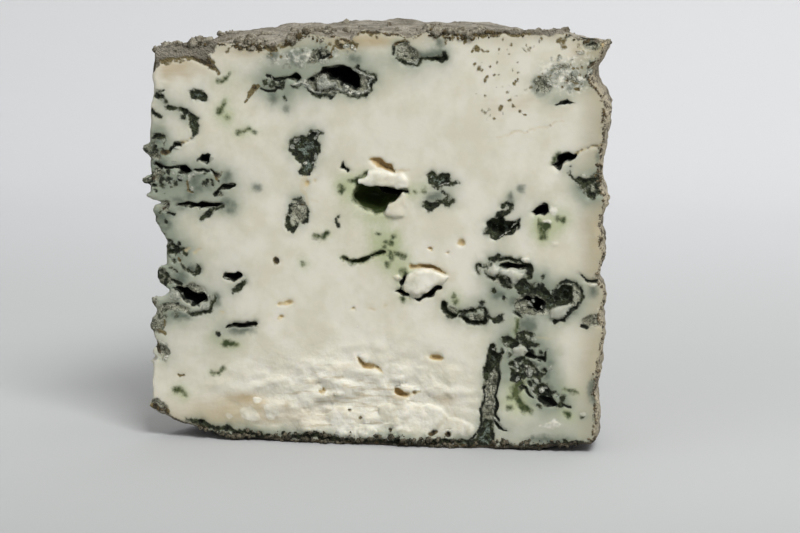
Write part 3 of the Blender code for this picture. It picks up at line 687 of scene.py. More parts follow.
FRONT_GREEN = (
    patch(7, 45.3, 54.2, 46, 55.6, 46.6, 56.8, 50, 57, 57.2, 55.6, 57.9, 54.7, 56.3, 54.9, 55.6, 53.9,
        54.9, 53.3, 53.3, 52.7, 52.9, 51.6, 52.4, 50.7, 50.5, 50.7, 48, 51.5, 46.6, 52.4, 45.6, 53.2),
    path(1.2, 46.5, 57, .45, 46.8, 57.8, .35, 47.6, 58.5, .3, 48.5, 59.2, .3),
    path(.6, 44.9, 57.5, .25, 46.4, 57.1, .3), path(.4, 42.9, 56.7, .3, 43.2, 55.9, .4, 42.9, 55.3, .3),
    path(2, 43.4, 40.9, .35, 44.9, 39.9, .4, 47.3, 40.6, .4, 48.9, 41.1, .35, 50.5, 41.9, .3, 52.3, 42, .35),
    path(.3, 54.6, 42.3, .2, 56.8, 41.4, .2),
    *balls(.3, (53.8, 44.2, .4, .5), (52.6, 44.4, .4, .3), (53.8, 41.7, .35, .8, 20), (53.1, 39.6, .4),
        (52.4, 43.2, .3), (54.3, 45.6, .3), (50.9, 46.1, .3, .2), (56.9, 37.4, .5, .6),
        (56.4, 38.4, .6, .35), (56.5, 32.4, .35, .45), (67.6, 33.3, .3, .5), (68, 32.1, .3, .35)),
    path(.5, 20.2, 67.5, .2, 21.2, 67.6, .2, 22.4, 68.5, .3, 24.2, 67.7, .15),
    path(.5, 37.3, 45.3, .3, 38.8, 45.2, .25, 40, 46.1, .35),
    path(.3, 16.1, 78.8, .15, 17.2, 78.6, .25, 18.1, 79.1, .2, 18.7, 80.3, .15),
    path(0, 17.4, 74.1, .2, 17, 72.9, .35, 16.3, 72, .4),
    *balls(0, (17.9, 70.7, .5, .4), (59.1, 55.7, .35, .3), (61, 55.8, .4, .3), (34.6, 39.3, .3, .4)),
    path(.4, 85.9, 49.4, .25, 86, 48, .5, 86.6, 46.8, .35),
    path(.3, 86.3, 46.9, .3, 86.9, 46.3, .3, 86.2, 45.9, .3),
    *balls(.3, (87.2, 48.4, .7, .9), (89.6, 50.3, .3), (90.7, 49.9, .45, .5, -40), (92.1, 8.1, .6, .35, -30),
        (79.8, 9.1, .5, .4)),
    path(.4, 88.7, 62.4, .25, 89, 63.4, .3, 89.6, 64.1, .25), path(0, 17, 21.7, .5, 19.6, 21.3, .4),
    path(.3, 14.1, 14.7, .3, 15.1, 14.7, .3, 16.8, 16, .2),
    path(.4, 5.7, 10.6, .4, 6.9, 10.8, .45, 7.8, 9.7, .35), path(0, 81.2, 28.4, .25, 81, 25.4, .25),
    path(.3, 82, 14.6, .7, 80.9, 13, .8, 80.9, 11.6, .6, 81.6, 10.5, .5, 82.7, 9.4, .7, 83.7, 8.5, .45),
    path(.3, 79.7, 11.5, .3, 80.9, 11.3, .35), path(0, 91.5, 13.4, .15, 93.8, 13.1, .2),
)
FRONT_OCHRE_AND_SHADE = (
    patch(2, 48.3, 62.5, 50, 62.8, 51.8, 62.5, 52.3, 61.9, 53.7, 61.5, 54.2, 60.6, 55.4, 59.6, 52.6, 59.9,
        50.6, 60.5, 50, 61.5),
    path(.5, 55.2, 59.9, .35, 56.6, 60.1, .2, 57.8, 60.1, .15),
    path(1.8, 58.2, 39.2, .3, 59.7, 39.2, .4, 62.1, 39.4, .55, 63.9, 39, .45, 66.3, 37.8, .2),
    path(2.5, 93.4, 64.1, .3, 94.2, 64.8, .2, 95.6, 65.1, .12, 96.8, 65.6, .2, 98.6, 66.1, .12),
    path(1.5, 7.6, 65, .25, 8.7, 65.8, .2, 9.6, 66.5, .2), Ball(69.2, 44.9, .9, .7, 1),
    Ball(63.7, 19.7, 1.5, .6, 1.2, -4),
    path(1.8, 54.8, 12.4, .3, 55.2, 11.7, .6, 57.3, 11.4, .5, 58, 11.9, .3, 60, 12.2, .2),
    # This tan band stands for the shade under a ledge of broken curd: painted shade, sunk 0.8 mm.
    path(.8, 46.8, 19.2, .3, 48.1, 17.6, .5, 50.5, 17.2, .45, 52, 16.2, .3),
    # Of the ovals below, those at 30.4 along and 30.6 high and at 29.3 along and 27.3 high are painted shade
    # in a slot; the rest are ochre marks.
    *balls(.6, (53.1, 13, .45, .35), (66.4, 42.5, .35, .25), (62.3, 43.1, .45, .3), (45.5, 29.8, .6, .35),
        (41.3, 10.4, .35), (38.7, 11.8, .9, .4), (52.6, 30.8, .35, .25), (30.4, 30.6, 2, .5, 14),
        (29.3, 27.3, .9, .35, 20), (35.8, 56.9, .5, .7, 15), (16.4, 28.3, .45, .35, -30), (37.3, 57.7, .3),
        (99, 87.4, .8, .7)),
    path(.4, 49, 29.9, .15, 50.2, 29.8, .15),
    path(.2, 76.7, 67.3, .1, 80.1, 68.2, .15, 85.2, 69.1, .12, 90.6, 71, .1),
    path(0, 35.1, 58.4, .4, 34.6, 57, .4, 34.5, 55.4, .35, 35.4, 54.4, .25, 35.7, 52.6, .25),
    path(.2, 36.7, 53.3, .12, 37.9, 53, .12), path(.2, 85.4, 24.8, .1, 88.4, 24.4, .12),
    path(.2, 8.3, 41.2, .2, 8.7, 41.9, .25, 9.2, 42.5, .2), path(.2, 10.4, 41.4, .2, 11.7, 42.4, .2),
)
FRONT_BROWN = (
    patch(.9, 4.3, 52.4, 4.2, 51.2, 3.4, 50.7, 2.5, 50.4, 3.4, 51.4),
    path(.6, 3, 62.9, .3, 4, 63.1, .5, 4.9, 63.3, .4),
    path(.5, 16.8, 58.9, .2, 15.7, 57.3, .25, 15.2, 58.6, .25, 14.4, 59.4, .2),
    path(.4, .5, 57.8, .2, .9, 56.8, .25, 1.9, 58.2, .2),
    path(.6, 8.9, 57.1, .25, 9, 55.3, .25, 10, 54.7, .25),
    path(.5, 3.3, 82.9, .5, 5.4, 83.1, .3, 7.2, 83.3, .4, 9.1, 83.9, .3, 10.2, 83.7, .3, 11.9, 82.8, .5,
        13.7, 82.1, .4, 15.5, 80.9, .35, 16.4, 80.2, .4),
    path(.5, 1.6, 84.2, .4, 1.7, 82.4, .3, 1.6, 80.6, .35),
    path(.3, 18.1, 84.4, .15, 18.4, 85.7, .15, 19.5, 86.3, .15, 20.3, 86.1, .2),
    path(.3, 22.6, 86, .25, 23.7, 86.3, .15, 24.9, 85.4, .25),
    path(.5, 26.6, 85.6, .3, 27.6, 85.4, .45, 28.7, 85.5, .4), path(.4, 30.1, 86.1, .3, 32.6, 86.9, .25),
    path(.5, 42.9, 86.1, .6, 44.1, 86.5, .4, 45.6, 86.4, .6, 46.3, 86.2, .4),
    path(.25, 22, 74.3, .3, 22.9, 75.6, .35, 23.8, 76.8, .4, 25, 77.3, .3),
    path(.5, 40.6, 83.7, .4, 41.4, 85.1, .3, 42.4, 87.3, .4),
    path(.4, 46.2, 88.5, .2, 47.2, 89.2, .3, 49.8, 88.9, .3, 51.2, 89.1, .25),
    # The first band on the next line, from 54.6 to 56.6 along, is painted shade in the crease along the top
    # of a crusty lump.
    path(.6, 54.6, 86.6, .3, 55.6, 87.1, .3, 56.6, 87.5, .2), path(.4, 69.4, 88.4, .3, 69.6, 87.4, .4),
    *scatter(.4, (90.4, 87.7, .1), (1.5, 1.4, .36), 12, 69),
    *scatter(.4, (65.8, 87.8, .2), (2.8, 1.4, .5), 12, 70),
    path(.3, 71, 88.9, .3, 74, 89, .35, 77.6, 89, .3, 81, 88.8, .35, 83.6, 88.9, .25),
    *scatter(0, (83.2, 86.2, .1), (1.5, .6, .28), 8, 77), path(.4, .6, 7, .6, 1.6, 6.4, .6),
    path(.4, 3, 6.4, .5, 3.9, 5.6, .5), path(.3, 6.1, 14.5, .2, 6.8, 14, .25, 7.8, 14.3, .2),
    path(.4, .6, 21.4, .5, 1.8, 20.7, .4, 2.3, 19.2, .35), path(.3, 1.7, 24.3, .15, 3.6, 23.3, .25),
    path(.3, 3.5, 26.2, .2, 3.3, 25.2, .2), *scatter(.4, (42.6, 86.6, .15), (4, 1.3, .4), 16, 61),
    *scatter(.3, (30, 85, .12), (5, 1.4, .3), 12, 62),
    *scatter(.3, (66.6, 88.2, .12), (4.6, 1.2, .35), 14, 63),
    *scatter(.3, (93, 82.4, .1), (5, 4.6, .28), 14, 64), *scatter(0, (77.6, 78.4, .1), (5.6, 9, .2), 26, 65),
    *scatter(.3, (8, 82.9, .15), (7.6, .8, .42), 24, 66), *scatter(.3, (52, 88.6, .12), (5, .8, .3), 10, 67),
    *scatter(.3, (98.4, 60.4, .15), (1.2, 3, .35), 7, 68),
    *balls(.6, (28.4, 39.9, .4, .8, 15), (24.1, 77.2, .5, .35, 10), (7, 39.6, .35), (6.1, 31, .4, .3),
        (34.2, 52.3, .35), (44.6, 7.6, .4, .3), (47, 6.1, .4, .35), (53.8, 3.4, .3, .5, 30),
        (63, 3.2, .9, .7), (66.4, 2.9, .7, .6), (50.8, 2.3, .3, .5), (99.6, 83.6, .3), (2, 38, .3),
        (.8, 55.8, .35), (1, 29.5, .35, .7), (92.6, 79, .4, .25), (93.4, 77.6, .6, .3), (90.4, 77.9, .3, .2),
        (91.2, 79.2, .4, .25), (90, 82.1, .2, .4), (85.5, 80.3, .4, .3)),
    *balls(0, (73.5, 88.7, .35), (75.9, 89.1, .25), (79.8, 86.7, .25), (77.9, 87.6, .2), (72.5, 86, .45),
        (73.5, 85.6, .25), (74.5, 85.7, .25), (71.4, 85.3, .25), (85.9, 88.2, .25), (85.5, 87.6, .2),
        (71.8, 82.7, .35), (72.6, 81.7, .4), (75, 82.1, .3), (73.3, 81.3, .2), (74.5, 80, .3),
        (74.1, 79.4, .3), (76.1, 80.4, .2), (81.2, 81.2, .22), (81.3, 79.6, .28), (80.3, 78.4, .32),
        (78.6, 76.9, .2), (74.2, 76.1, .25), (79.2, 75.1, .32), (77.4, 73.4, .35, .55, -30), (75, 73, .35),
        (80.1, 73.9, .28), (81.4, 72.7, .32), (82.5, 71.8, .35, .2), (76, 71, .32), (89.6, 84.6, .25, .4),
        (86.3, 81, .22), (88, 80.5, .25), (83.5, 77.9, .2), (95, 80.2, .25), (94, 80.8, .2), (92.6, 88, .22),
        (93.9, 86.9, .18), (94.6, 85.6, .2), (75.2, 71.9, .15)),
)
FRONT_LIP = (
    path(.35, 35, 78.5, .25, 36.7, 77.1, .25, 37.9, 76.5, .2, 38.9, 76.5, .2),
    path(.4, 40.6, 76.7, .15, 41.9, 77.2, .2, 43.4, 77.1, .25, 45.2, 76.4, .25, 47, 76.5, .25,
        48.4, 76.8, .2, 48.9, 77.5, .2, 48.8, 78.8, .2, 50, 79.6, .25, 49, 79.9, .2, 47.2, 80.3, .25,
        45.8, 81.4, .2),
    path(.4, 32.3, 78.3, .2, 33.6, 78.2, .35, 34.8, 78.9, .3, 35.4, 78.9, .2),
    patch(.5, 37.6, 78.6, 39.2, 80, 40.2, 78.9, 41.8, 78.9, 42.6, 78, 41, 77.6, 39.8, 77.4, 38.6, 77,
        37.6, 77.6),
    patch(.5, 43.4, 78.1, 43.8, 78.4, 45.2, 77.4, 44.4, 77, 43.5, 77.4),
    patch(.5, 13.7, 30.6, 12.3, 30.3, 11.8, 29.2, 11.2, 28.4, 12.4, 28.9, 13.5, 29.3),
    path(.4, 12.4, 32.8, .15, 13, 32, .2, 13.7, 30.9, .2),
    patch(.5, 5, 33, 6.4, 32.6, 7.2, 31.6, 7.2, 30.8, 5.6, 30.6, 4.4, 31.8),
    path(.3, 9.2, 58.1, .3, 10.4, 58.7, .35, 12.2, 59.1, .2),
    path(.3, 76, 7.1, .15, 77.4, 6, .2, 79.4, 4.7, .2), path(.3, 74.7, 13, .15, 74.4, 11, .15),
    path(.3, 1.3, 22.5, .15, 2.6, 21.5, .2, 4.2, 20.8, .2, 3.9, 20.1, .15), Ball(3.6, 17.8, .6, .35, .3, 30),
    path(.3, 57.3, 83.1, .2, 59.1, 82.9, .25, 59.8, 83.6, .2),
    path(.2, 77.4, 45.8, .15, 78.6, 46.6, .2, 79.5, 47.5, .15),
    path(.2, 79.9, 48.4, .12, 80.6, 48.8, .15, 81.2, 49.4, .12),
    path(.2, 64.3, 56.9, .15, 65.2, 57.4, .12, 66.4, 57.6, .15), path(.2, 84.8, 12.6, .12, 83.9, 13.4, .15),
    path(.2, 36.9, 68, .15, 37.9, 68, .2, 38.4, 67.6, .15, 37.4, 66.4, .2), Ball(36.2, 67.3, .25, .25, .2),
    Ball(62.6, 58.6, .25, .2, .2), Ball(81, 17.2, .4, .25, .2, 40), Ball(76.1, 22, .2, .5, .2, 25),
    Ball(70.9, 30.6, .8, .25, .2), Ball(27.7, 79.2, .2, .3, .2),
    patch(.3, 82.8, 32.2, 83.6, 32.4, 83.9, 31.9, 83, 31.6),
    *scatter(0, (33.8, 64.4, .2), (1.5, 1.9, .7), 15, 78),
    *scatter(0, (36.2, 61.8, .1), (1.4, 2.6, .45), 10, 79),
    *scatter(.4, (91.6, 81.2, .25), (5.6, 4.6, .7), 16, 71),
    *scatter(.4, (84.2, 18.2, .2), (4.6, 6, .6), 12, 72), *scatter(.4, (41, 85.2, .2), (5.4, 2, .7), 12, 73),
    *scatter(.4, (5.6, 58, .2), (5.4, 4, .5), 10, 74), *scatter(.4, (30, 83.4, .15), (4.4, 1.8, .4), 12, 75),
    *scatter(.3, (87, 32.4, .2), (6, 3, .5), 8, 76),
    *balls(.3, (39.4, 83, 1.3, .35), (34.2, 82.4, .5, .9, 20), (81.4, 22, .7, .5), (84, 16.9, .5),
        (86.4, 13.4, .5), (87.4, 13.9, .3), (93, 81, .8, .5), (96, 81.4, .6), (14.3, 62, .4),
        (92.2, 78.2, .8, .6), (94.2, 79.6, .5), (89.3, 82.3, .9, .25)),
)
FRONT_BARK = (
    patch(.5, -1, 88, 10, 88, 16, 87, 15, 85, 13.4, 84.4, 16.8, 80.2, 14.6, 81.2, 12, 82.8, 10, 83.7,
        6.6, 83.2, 3.2, 82.8, 1.8, 80.6, .6, 80.4),
    path(.3, 71, 89.3, .3, 76, 89.4, .5, 84, 89.3, .4, 90, 89.6, .5),
)
FRONT_CURD = (
    patch(.7, 46.6, 57.1, 46.9, 57.8, 48.8, 58.7, 49, 59.5, 50.6, 59.8, 53.3, 59.6, 56.5, 59.2, 57.8, 58.2,
        57.4, 55.9, 54.9, 56.4, 52.3, 56.7, 50.6, 56.7, 49, 56.3),
    patch(.7, 56.3, 55.2, 57.3, 54.9, 57.2, 53.9, 56.7, 51.7, 56.5, 50.4, 54.4, 50, 52.4, 50.4, 52.9, 51.6,
        53.4, 52.8, 54.9, 53.4, 55.7, 54),
    patch(.8, 57.4, 37.4, 59, 38.2, 59.8, 38.2, 62.6, 38.8, 64.6, 38.2, 66.3, 37.2, 65.2, 35.9, 62.8, 35,
        61.8, 33.9, 60, 33.1, 57.9, 33.3, 56.4, 35.2),
    patch(.4, 54.2, 36.8, 55.4, 37.2, 56.1, 36.7, 55.2, 36.4),
    patch(.6, 77.3, 38.7, 78.4, 39.3, 79.7, 39.1, 80.9, 38.5, 82.7, 38.6, 81.6, 37.2, 80, 36.4, 79.3, 37.6,
        78.1, 38),
    patch(.5, 74.7, 39.8, 75.6, 40.1, 77, 39.8, 76.9, 38.2, 75.8, 37.7, 75, 38.6),
    patch(.6, 87.9, 30.5, 88.9, 31, 90, 31.4, 91.7, 31.8, 93.1, 32.1, 92.2, 30.6, 91, 29.3, 89.4, 28.8,
        88.2, 29.1),
    patch(.4, 80.4, 22.2, 82.2, 22.7, 83.4, 21.9, 82.8, 20.8, 80.8, 20.6),
    patch(.25, 50.6, 8.9, 57, 9.3, 64.7, 8.9, 66, 6.5, 64, 3.6, 56, 3.8, 52, 5.5),
    patch(.3, 39.8, 6.4, 41.4, 8.2, 43.8, 8.8, 44.4, 6.4, 46.6, 4.6, 50.4, 4.4, 50.6, 2.6, 46, 1, 41.6, 1.8),
    patch(.3, 39.6, 11.2, 41, 11.8, 42.6, 11.2, 41.8, 10.2, 40.2, 10),
    patch(.25, 20.4, 7.2, 22.4, 7.4, 23.8, 6.6, 25.2, 5.2, 23, 4.4, 20.6, 5.2),
    patch(.25, 25.8, 7.4, 27, 9, 28.6, 8.4, 29, 6.4, 27.4, 4.8, 26.2, 5.2),
    patch(.4, 52, 2.6, 53.6, 2.4, 54.2, 1.4, 52.6, 1.6),
    patch(.4, 66, 6.6, 69.6, 6.6, 72, 5, 71.4, 2.4, 67.6, 3.4),
    patch(.3, 86, 5.6, 89.6, 7.2, 90.6, 6, 89, 4.9),
    *balls(.2, (24.2, 9, .9, .6), (18, 5.4, .9, .6), (33.6, 12.4, .8, .3), (45.8, 7, 1, .5, -20),
        (36.4, 9, .6), (83, 41.2, .9, .5, -20), (87.5, 49.6, .7, .3), (95.2, 59.3, .5, .4),
        (97, 36.4, .8, .3), (88.6, 51.8, .8, .7), (95.6, 8.6, .6, .4), (89, 45, .6, .2),
        (38.9, 2.6, .6, .8)),
)
FRONT_MARKS: dict[Lining, tuple[Mark, ...]] = {
    Lining.BLACK: FRONT_BLACK, Lining.MOULD: FRONT_MOULD, Lining.CLOUD: FRONT_CLOUD, Lining.GREY: FRONT_GREY,
    Lining.GREEN: FRONT_GREEN, Lining.OCHRE: FRONT_OCHRE_AND_SHADE, Lining.BROWN: FRONT_BROWN, Lining.LIP: FRONT_LIP,
    Lining.BARK: FRONT_BARK, Lining.CURD: FRONT_CURD,
}

# Soft stains, and some painted shade, as (along the face, height, half length, half height, strength)
FRONT_GLOWS: dict[Glow, tuple[Stain, ...]] = {
    Glow.HALO: (
        (9, 58, 13, 7, .2), (18, 56, 7, 6, .16), (40, 80, 15, 6.5, .4), (22, 80, 12, 5, .25),
        (35.5, 63.5, 5, 7, .3), (11, 34, 12, 8, .2), (64, 56, 5, 5, .18), (78, 35, 5, 4, .3),
        (80, 20, 8, 12, .1), (6, 40, 7, 6, .14), (18, 22, 5, 5, .22), (86, 31, 7, 6, .24),
        (87, 50, 9, 8, .2), (60, 80, 9, 5, .22), (71, 31, 7, 4, .2), (18, 42, 10, 7, .1),
        (87, 5, 13, 5, .42), (15, 46, 9, 8, .08), (48, 83, 7, 3, .3), (8, 20, 13, 10, .26),
        (88.8, 75.4, 3, 1.6, .45), (24, 64, 9, 10, .1), (88, 18, 9, 9, .24),
    ),
    Glow.TINT: (
        (47, 50, 7, 5, .3), (52.6, 43.6, 3, 3.4, .45), (44.2, 56.2, 2.4, 2.6, .5), (17.4, 71.4, 2.4, 3, .4),
        (87.6, 48.2, 3, 3, .22), (81.6, 11.8, 2.4, 4, .32), (34.6, 39.4, 2, 2.4, .3), (14, 22.6, 2, 2, .4),
        (7.2, 10.2, 2.6, 3.4, .35), (56.6, 36.6, 3, 4, .3), (22.4, 67.6, 2.6, 1.4, .25),
        (18, 21, 2.4, 1.2, .4), (92.6, 7.8, 2.4, 1.6, .35), (52.6, 39.4, 1.6, 1.8, .35), (40, 66, 5, 9, .08),
        (50.6, 49.6, 4.4, 1.4, .4), (20, 77.6, 3, 2, .22), (91.6, 49.8, 2, 2.4, .3), (87, 51, 6, 4, .2),
        (32, 47.4, 1.6, 1.6, .4), (93, 75.6, 4, 2.4, .2),
    ),
    # Tan stains; those at 46 along and 17.6 high and at 41.6 along and 16.4 high are painted shade under a
    # curd ledge.
    Glow.TAN: (
        (8, 81.4, 8, 2.4, .55), (4.6, 79, 1.4, 3.4, .4), (9.4, 79.6, 1, 2.6, .3), (8, 20, 13, 10, .13),
        (16, 5, 13, 5, .6), (21.6, 9.4, 4, 1.4, .7), (41.4, 7.6, 2.4, 1.4, .4), (34, 5.4, 8, 3.4, .35),
        (98, 46, 3.5, 12, .4), (56, 12, 5, 1.4, .3), (65.8, 10.6, 3, 1.8, .5), (46, 17.6, 4.6, .9, .4),
        (41.6, 16.4, 3, .6, .4), (57, 3.4, 5, 1.4, .45), (76.2, 73, 2.4, 3.4, .3), (49.6, 87.4, 7, 1.6, .7),
        (35.6, 56.5, 1.2, 1.6, .4), (98, 20, 3, 8, .3), (30, 27.6, 4, 3, .12), (80.6, 74, 2.4, 1.6, .35),
        (22, 84.6, 6, 1.6, .45), (98.6, 87, 2, 1.6, .6), (24.6, 8, 1.6, 2.4, .35), (46.4, 5.4, 3, .8, .4),
        (27.6, 5, 1.6, .8, .3), (31, 8.4, .7, 1.2, .4), (94.6, 85.6, 3.6, 2.6, .6), (43.6, 86, 4.4, 1.8, .6),
        (33, 86.4, 6, 1.4, .4), (1, 36, 2.4, 2, .3), (83.4, 75.6, 4, 1.2, .25), (86.6, 43, 1.2, 3, .25),
        (72.4, 23, 3, 1, .15), (90, 28.4, 3, 1.2, .3),
    ),
    Glow.MOTTLE: (
        (88.4, 81.4, 4, 3.4, .8), (93, 79.8, 4, 3.4, .8), (31.4, 83.8, 4.6, 1.8, .7),
        (91.2, 77.6, 2.6, 1.2, .4), (94.6, 84.6, 3, 2.6, .5), (82.6, 77.2, 1.8, 1.2, .5),
        (36.4, 83.8, 3.6, 2, .7), (42.6, 84.2, 2.6, 1.6, .5), (56.8, 85.6, 2, 1.4, .7),
        (62.4, 86.6, 3, 1.6, .45), (90, 27.4, 3, 1.4, .3), (28, 83.4, 5, 1.2, .3),
        (84.4, 17.6, 2.6, 2.6, .6), (84, 24, 2.6, 1.6, .5), (79, 22, 2, 1.6, .4),
    ),
}

FRONT_KNOBS = (
    Knob(1, 1.2, 64, 2.2, 1.8, 1.4), Knob(.6, 1.4, 57, 2.2, 1.8, 1), Knob(1.2, 1.2, 53.6, 2, 1.5, .7),
    Knob(2.9, 1.4, 36.6, 1.1, 1.6, 1.5), Knob(3.1, 1.4, 34.9, 1.2, 1.6, 1),
    Knob(1.4, 1.4, 30.2, 1, 1.5, 1.2), Knob(1.6, 1.2, 24.4, 1.6, 1.4, 1), Knob(1.2, 1.6, 7.2, 1.9, 1.7, 1),
    Knob(1.6, 1.2, 16.9, 1.8, 1.3, .4), Knob(38.9, 2.2, 78.9, 1.5, 1.4, 1.2),
    Knob(41.2, 2.4, 78.4, 1.2, 1.6, .6), Knob(98.2, 1.4, 28.2, 1.6, 1.5, .8),
    Knob(39.6, 1.6, 83, 1.4, 1.2, .5), Knob(15.2, 1, 81.8, 1.4, 1.2, .6),
)

# Marks of the second cut face, which runs back from the tip
BACK_BLACK = (
    Ball(70, 66, 4.4, 2.8, 11, -12), Ball(20, 66, 2.6, 1.4, 6, 12), Ball(13, 38, 3.2, 1.5, 6, -10),
    Ball(52, 30, 3.4, 1.8, 6, -14), Ball(84, 42, 3.2, 2, 7, 10),
    path(3, 6, 54, .3, 14, 53, .5, 22, 54.6, .3), path(2.4, 76, 33, .3, 82, 31.6, .6, 89, 33, .3),
    path(2, 24, 44, .3, 28, 45, .5, 33, 44.2, .3),
)
BACK_MOULD = (
    Ball(29, 22, 2.8, 1.7, 5, 6), Ball(56, 78, 3.6, 1.6, 4, -6), Ball(63, 46, 2, 3.2, 2, 8),
    Ball(78, 19, 3.8, 1.7, 4, -8), path(1.7, 45, 70, .8, 45.6, 58, 1.4, 45.2, 52, 1.2),
    Ball(9, 73, 2, 1.2, .9, 20), Ball(16, 77, 1.4, 1, .8), Ball(26, 59, 2.2, 1, 1, -24),
    Ball(88, 58, 2.4, 1.3, 1.2, 14), Ball(73, 52, 1.4, 2, 1), Ball(40, 33, 1.6, 1, .9, 30),
    Ball(66, 11, 2.2, 1.2, .9, -12), Ball(91, 24, 1.6, 2.4, .9), Ball(6, 24, 1.8, 2, .8),
    path(1, 48, 14, .6, 52, 16.4, 1, 57, 15.4, .7, 60, 18, .5), path(1, 80, 79, .5, 84, 77, 1, 88, 78.6, .6),
)
BACK_CLOUD = balls(
    0, (20, 63.4, 3, 1.2), (71, 62, 3, 1.4), (12, 35.6, 3, 1.2), (47.8, 61, 1.6, 3.6), (82, 38.6, 3.4, 1.2),
    (31, 19, 2.6, 1.4), (66, 47, 1.6, 2.6),
)
BACK_GREY = (
    Ball(66.4, 65, 2, 1.6, 2), Ball(4, 64, 2.6, 3.4, .6), Ball(4.6, 46, 2.2, 4, .6),
    Ball(3.6, 30, 2, 3.4, .6), path(1.4, 45.4, 66, .7, 45.6, 56, .9), Ball(17, 36.6, 1.6, 1, .6),
    Ball(86.4, 44.4, 1.6, 1.2, .8),
)
BACK_GREEN = (
    Ball(38, 47, 4.8, 2.6, 10, 8), Ball(32, 63, 1.2, .8, 0), Ball(70, 40, 1, 1.4, 0),
    path(.4, 60, 57, .3, 66, 56, .5, 73, 57.6, .3),
)
BACK_OCHRE = (
    path(2, 36, 10, .3, 44, 9, .8, 52, 10.4, .3), Ball(22, 32, 1.2, .7, 1), Ball(76, 72, 1.4, .7, 1),
    Ball(58, 66, .9, .6, .8),
)
BACK_BROWN = (
    path(.5, 4, 82.4, .7, 12, 83.4, .6, 20, 84.6, .5),
)
BACK_CURD = balls(
    .5, (44, 7.4, 3, 1.2), (74, 62.4, 2, .8), (37, 43.6, 3, .9), (56, 28, 1.6, .9),
)
BACK_MARKS: dict[Lining, tuple[Mark, ...]] = {
    Lining.BLACK: BACK_BLACK, Lining.MOULD: BACK_MOULD, Lining.CLOUD: BACK_CLOUD, Lining.GREY: BACK_GREY,
    Lining.GREEN: BACK_GREEN, Lining.OCHRE: BACK_OCHRE, Lining.BROWN: BACK_BROWN, Lining.CURD: BACK_CURD,
}
BACK_GLOWS: dict[Glow, tuple[Stain, ...]] = {
    Glow.HALO: (
        (10, 56, 14, 12, .35), (68, 66, 12, 8, .3), (45, 60, 7, 12, .25), (84, 42, 9, 8, .25),
        (28, 24, 9, 7, .25), (78, 19, 9, 6, .25),
    ),
    Glow.TINT: ((38, 44, 8, 5, .4), (32, 62, 4, 4, .35), (70, 40, 4, 4, .3)),
    Glow.TAN: ((40, 85, 40, 3, .4), (40, 4, 40, 4, .35), (97, 45, 3.5, 40, .35)),
    Glow.MOTTLE: ((86, 82, 6, 4, .6), (30, 82, 8, 2.4, .45)),
}

FRONT = CutFace(False, FRONT_MARKS, FRONT_GLOWS, FRONT_KNOBS)
BACK = CutFace(True, BACK_MARKS, BACK_GLOWS)


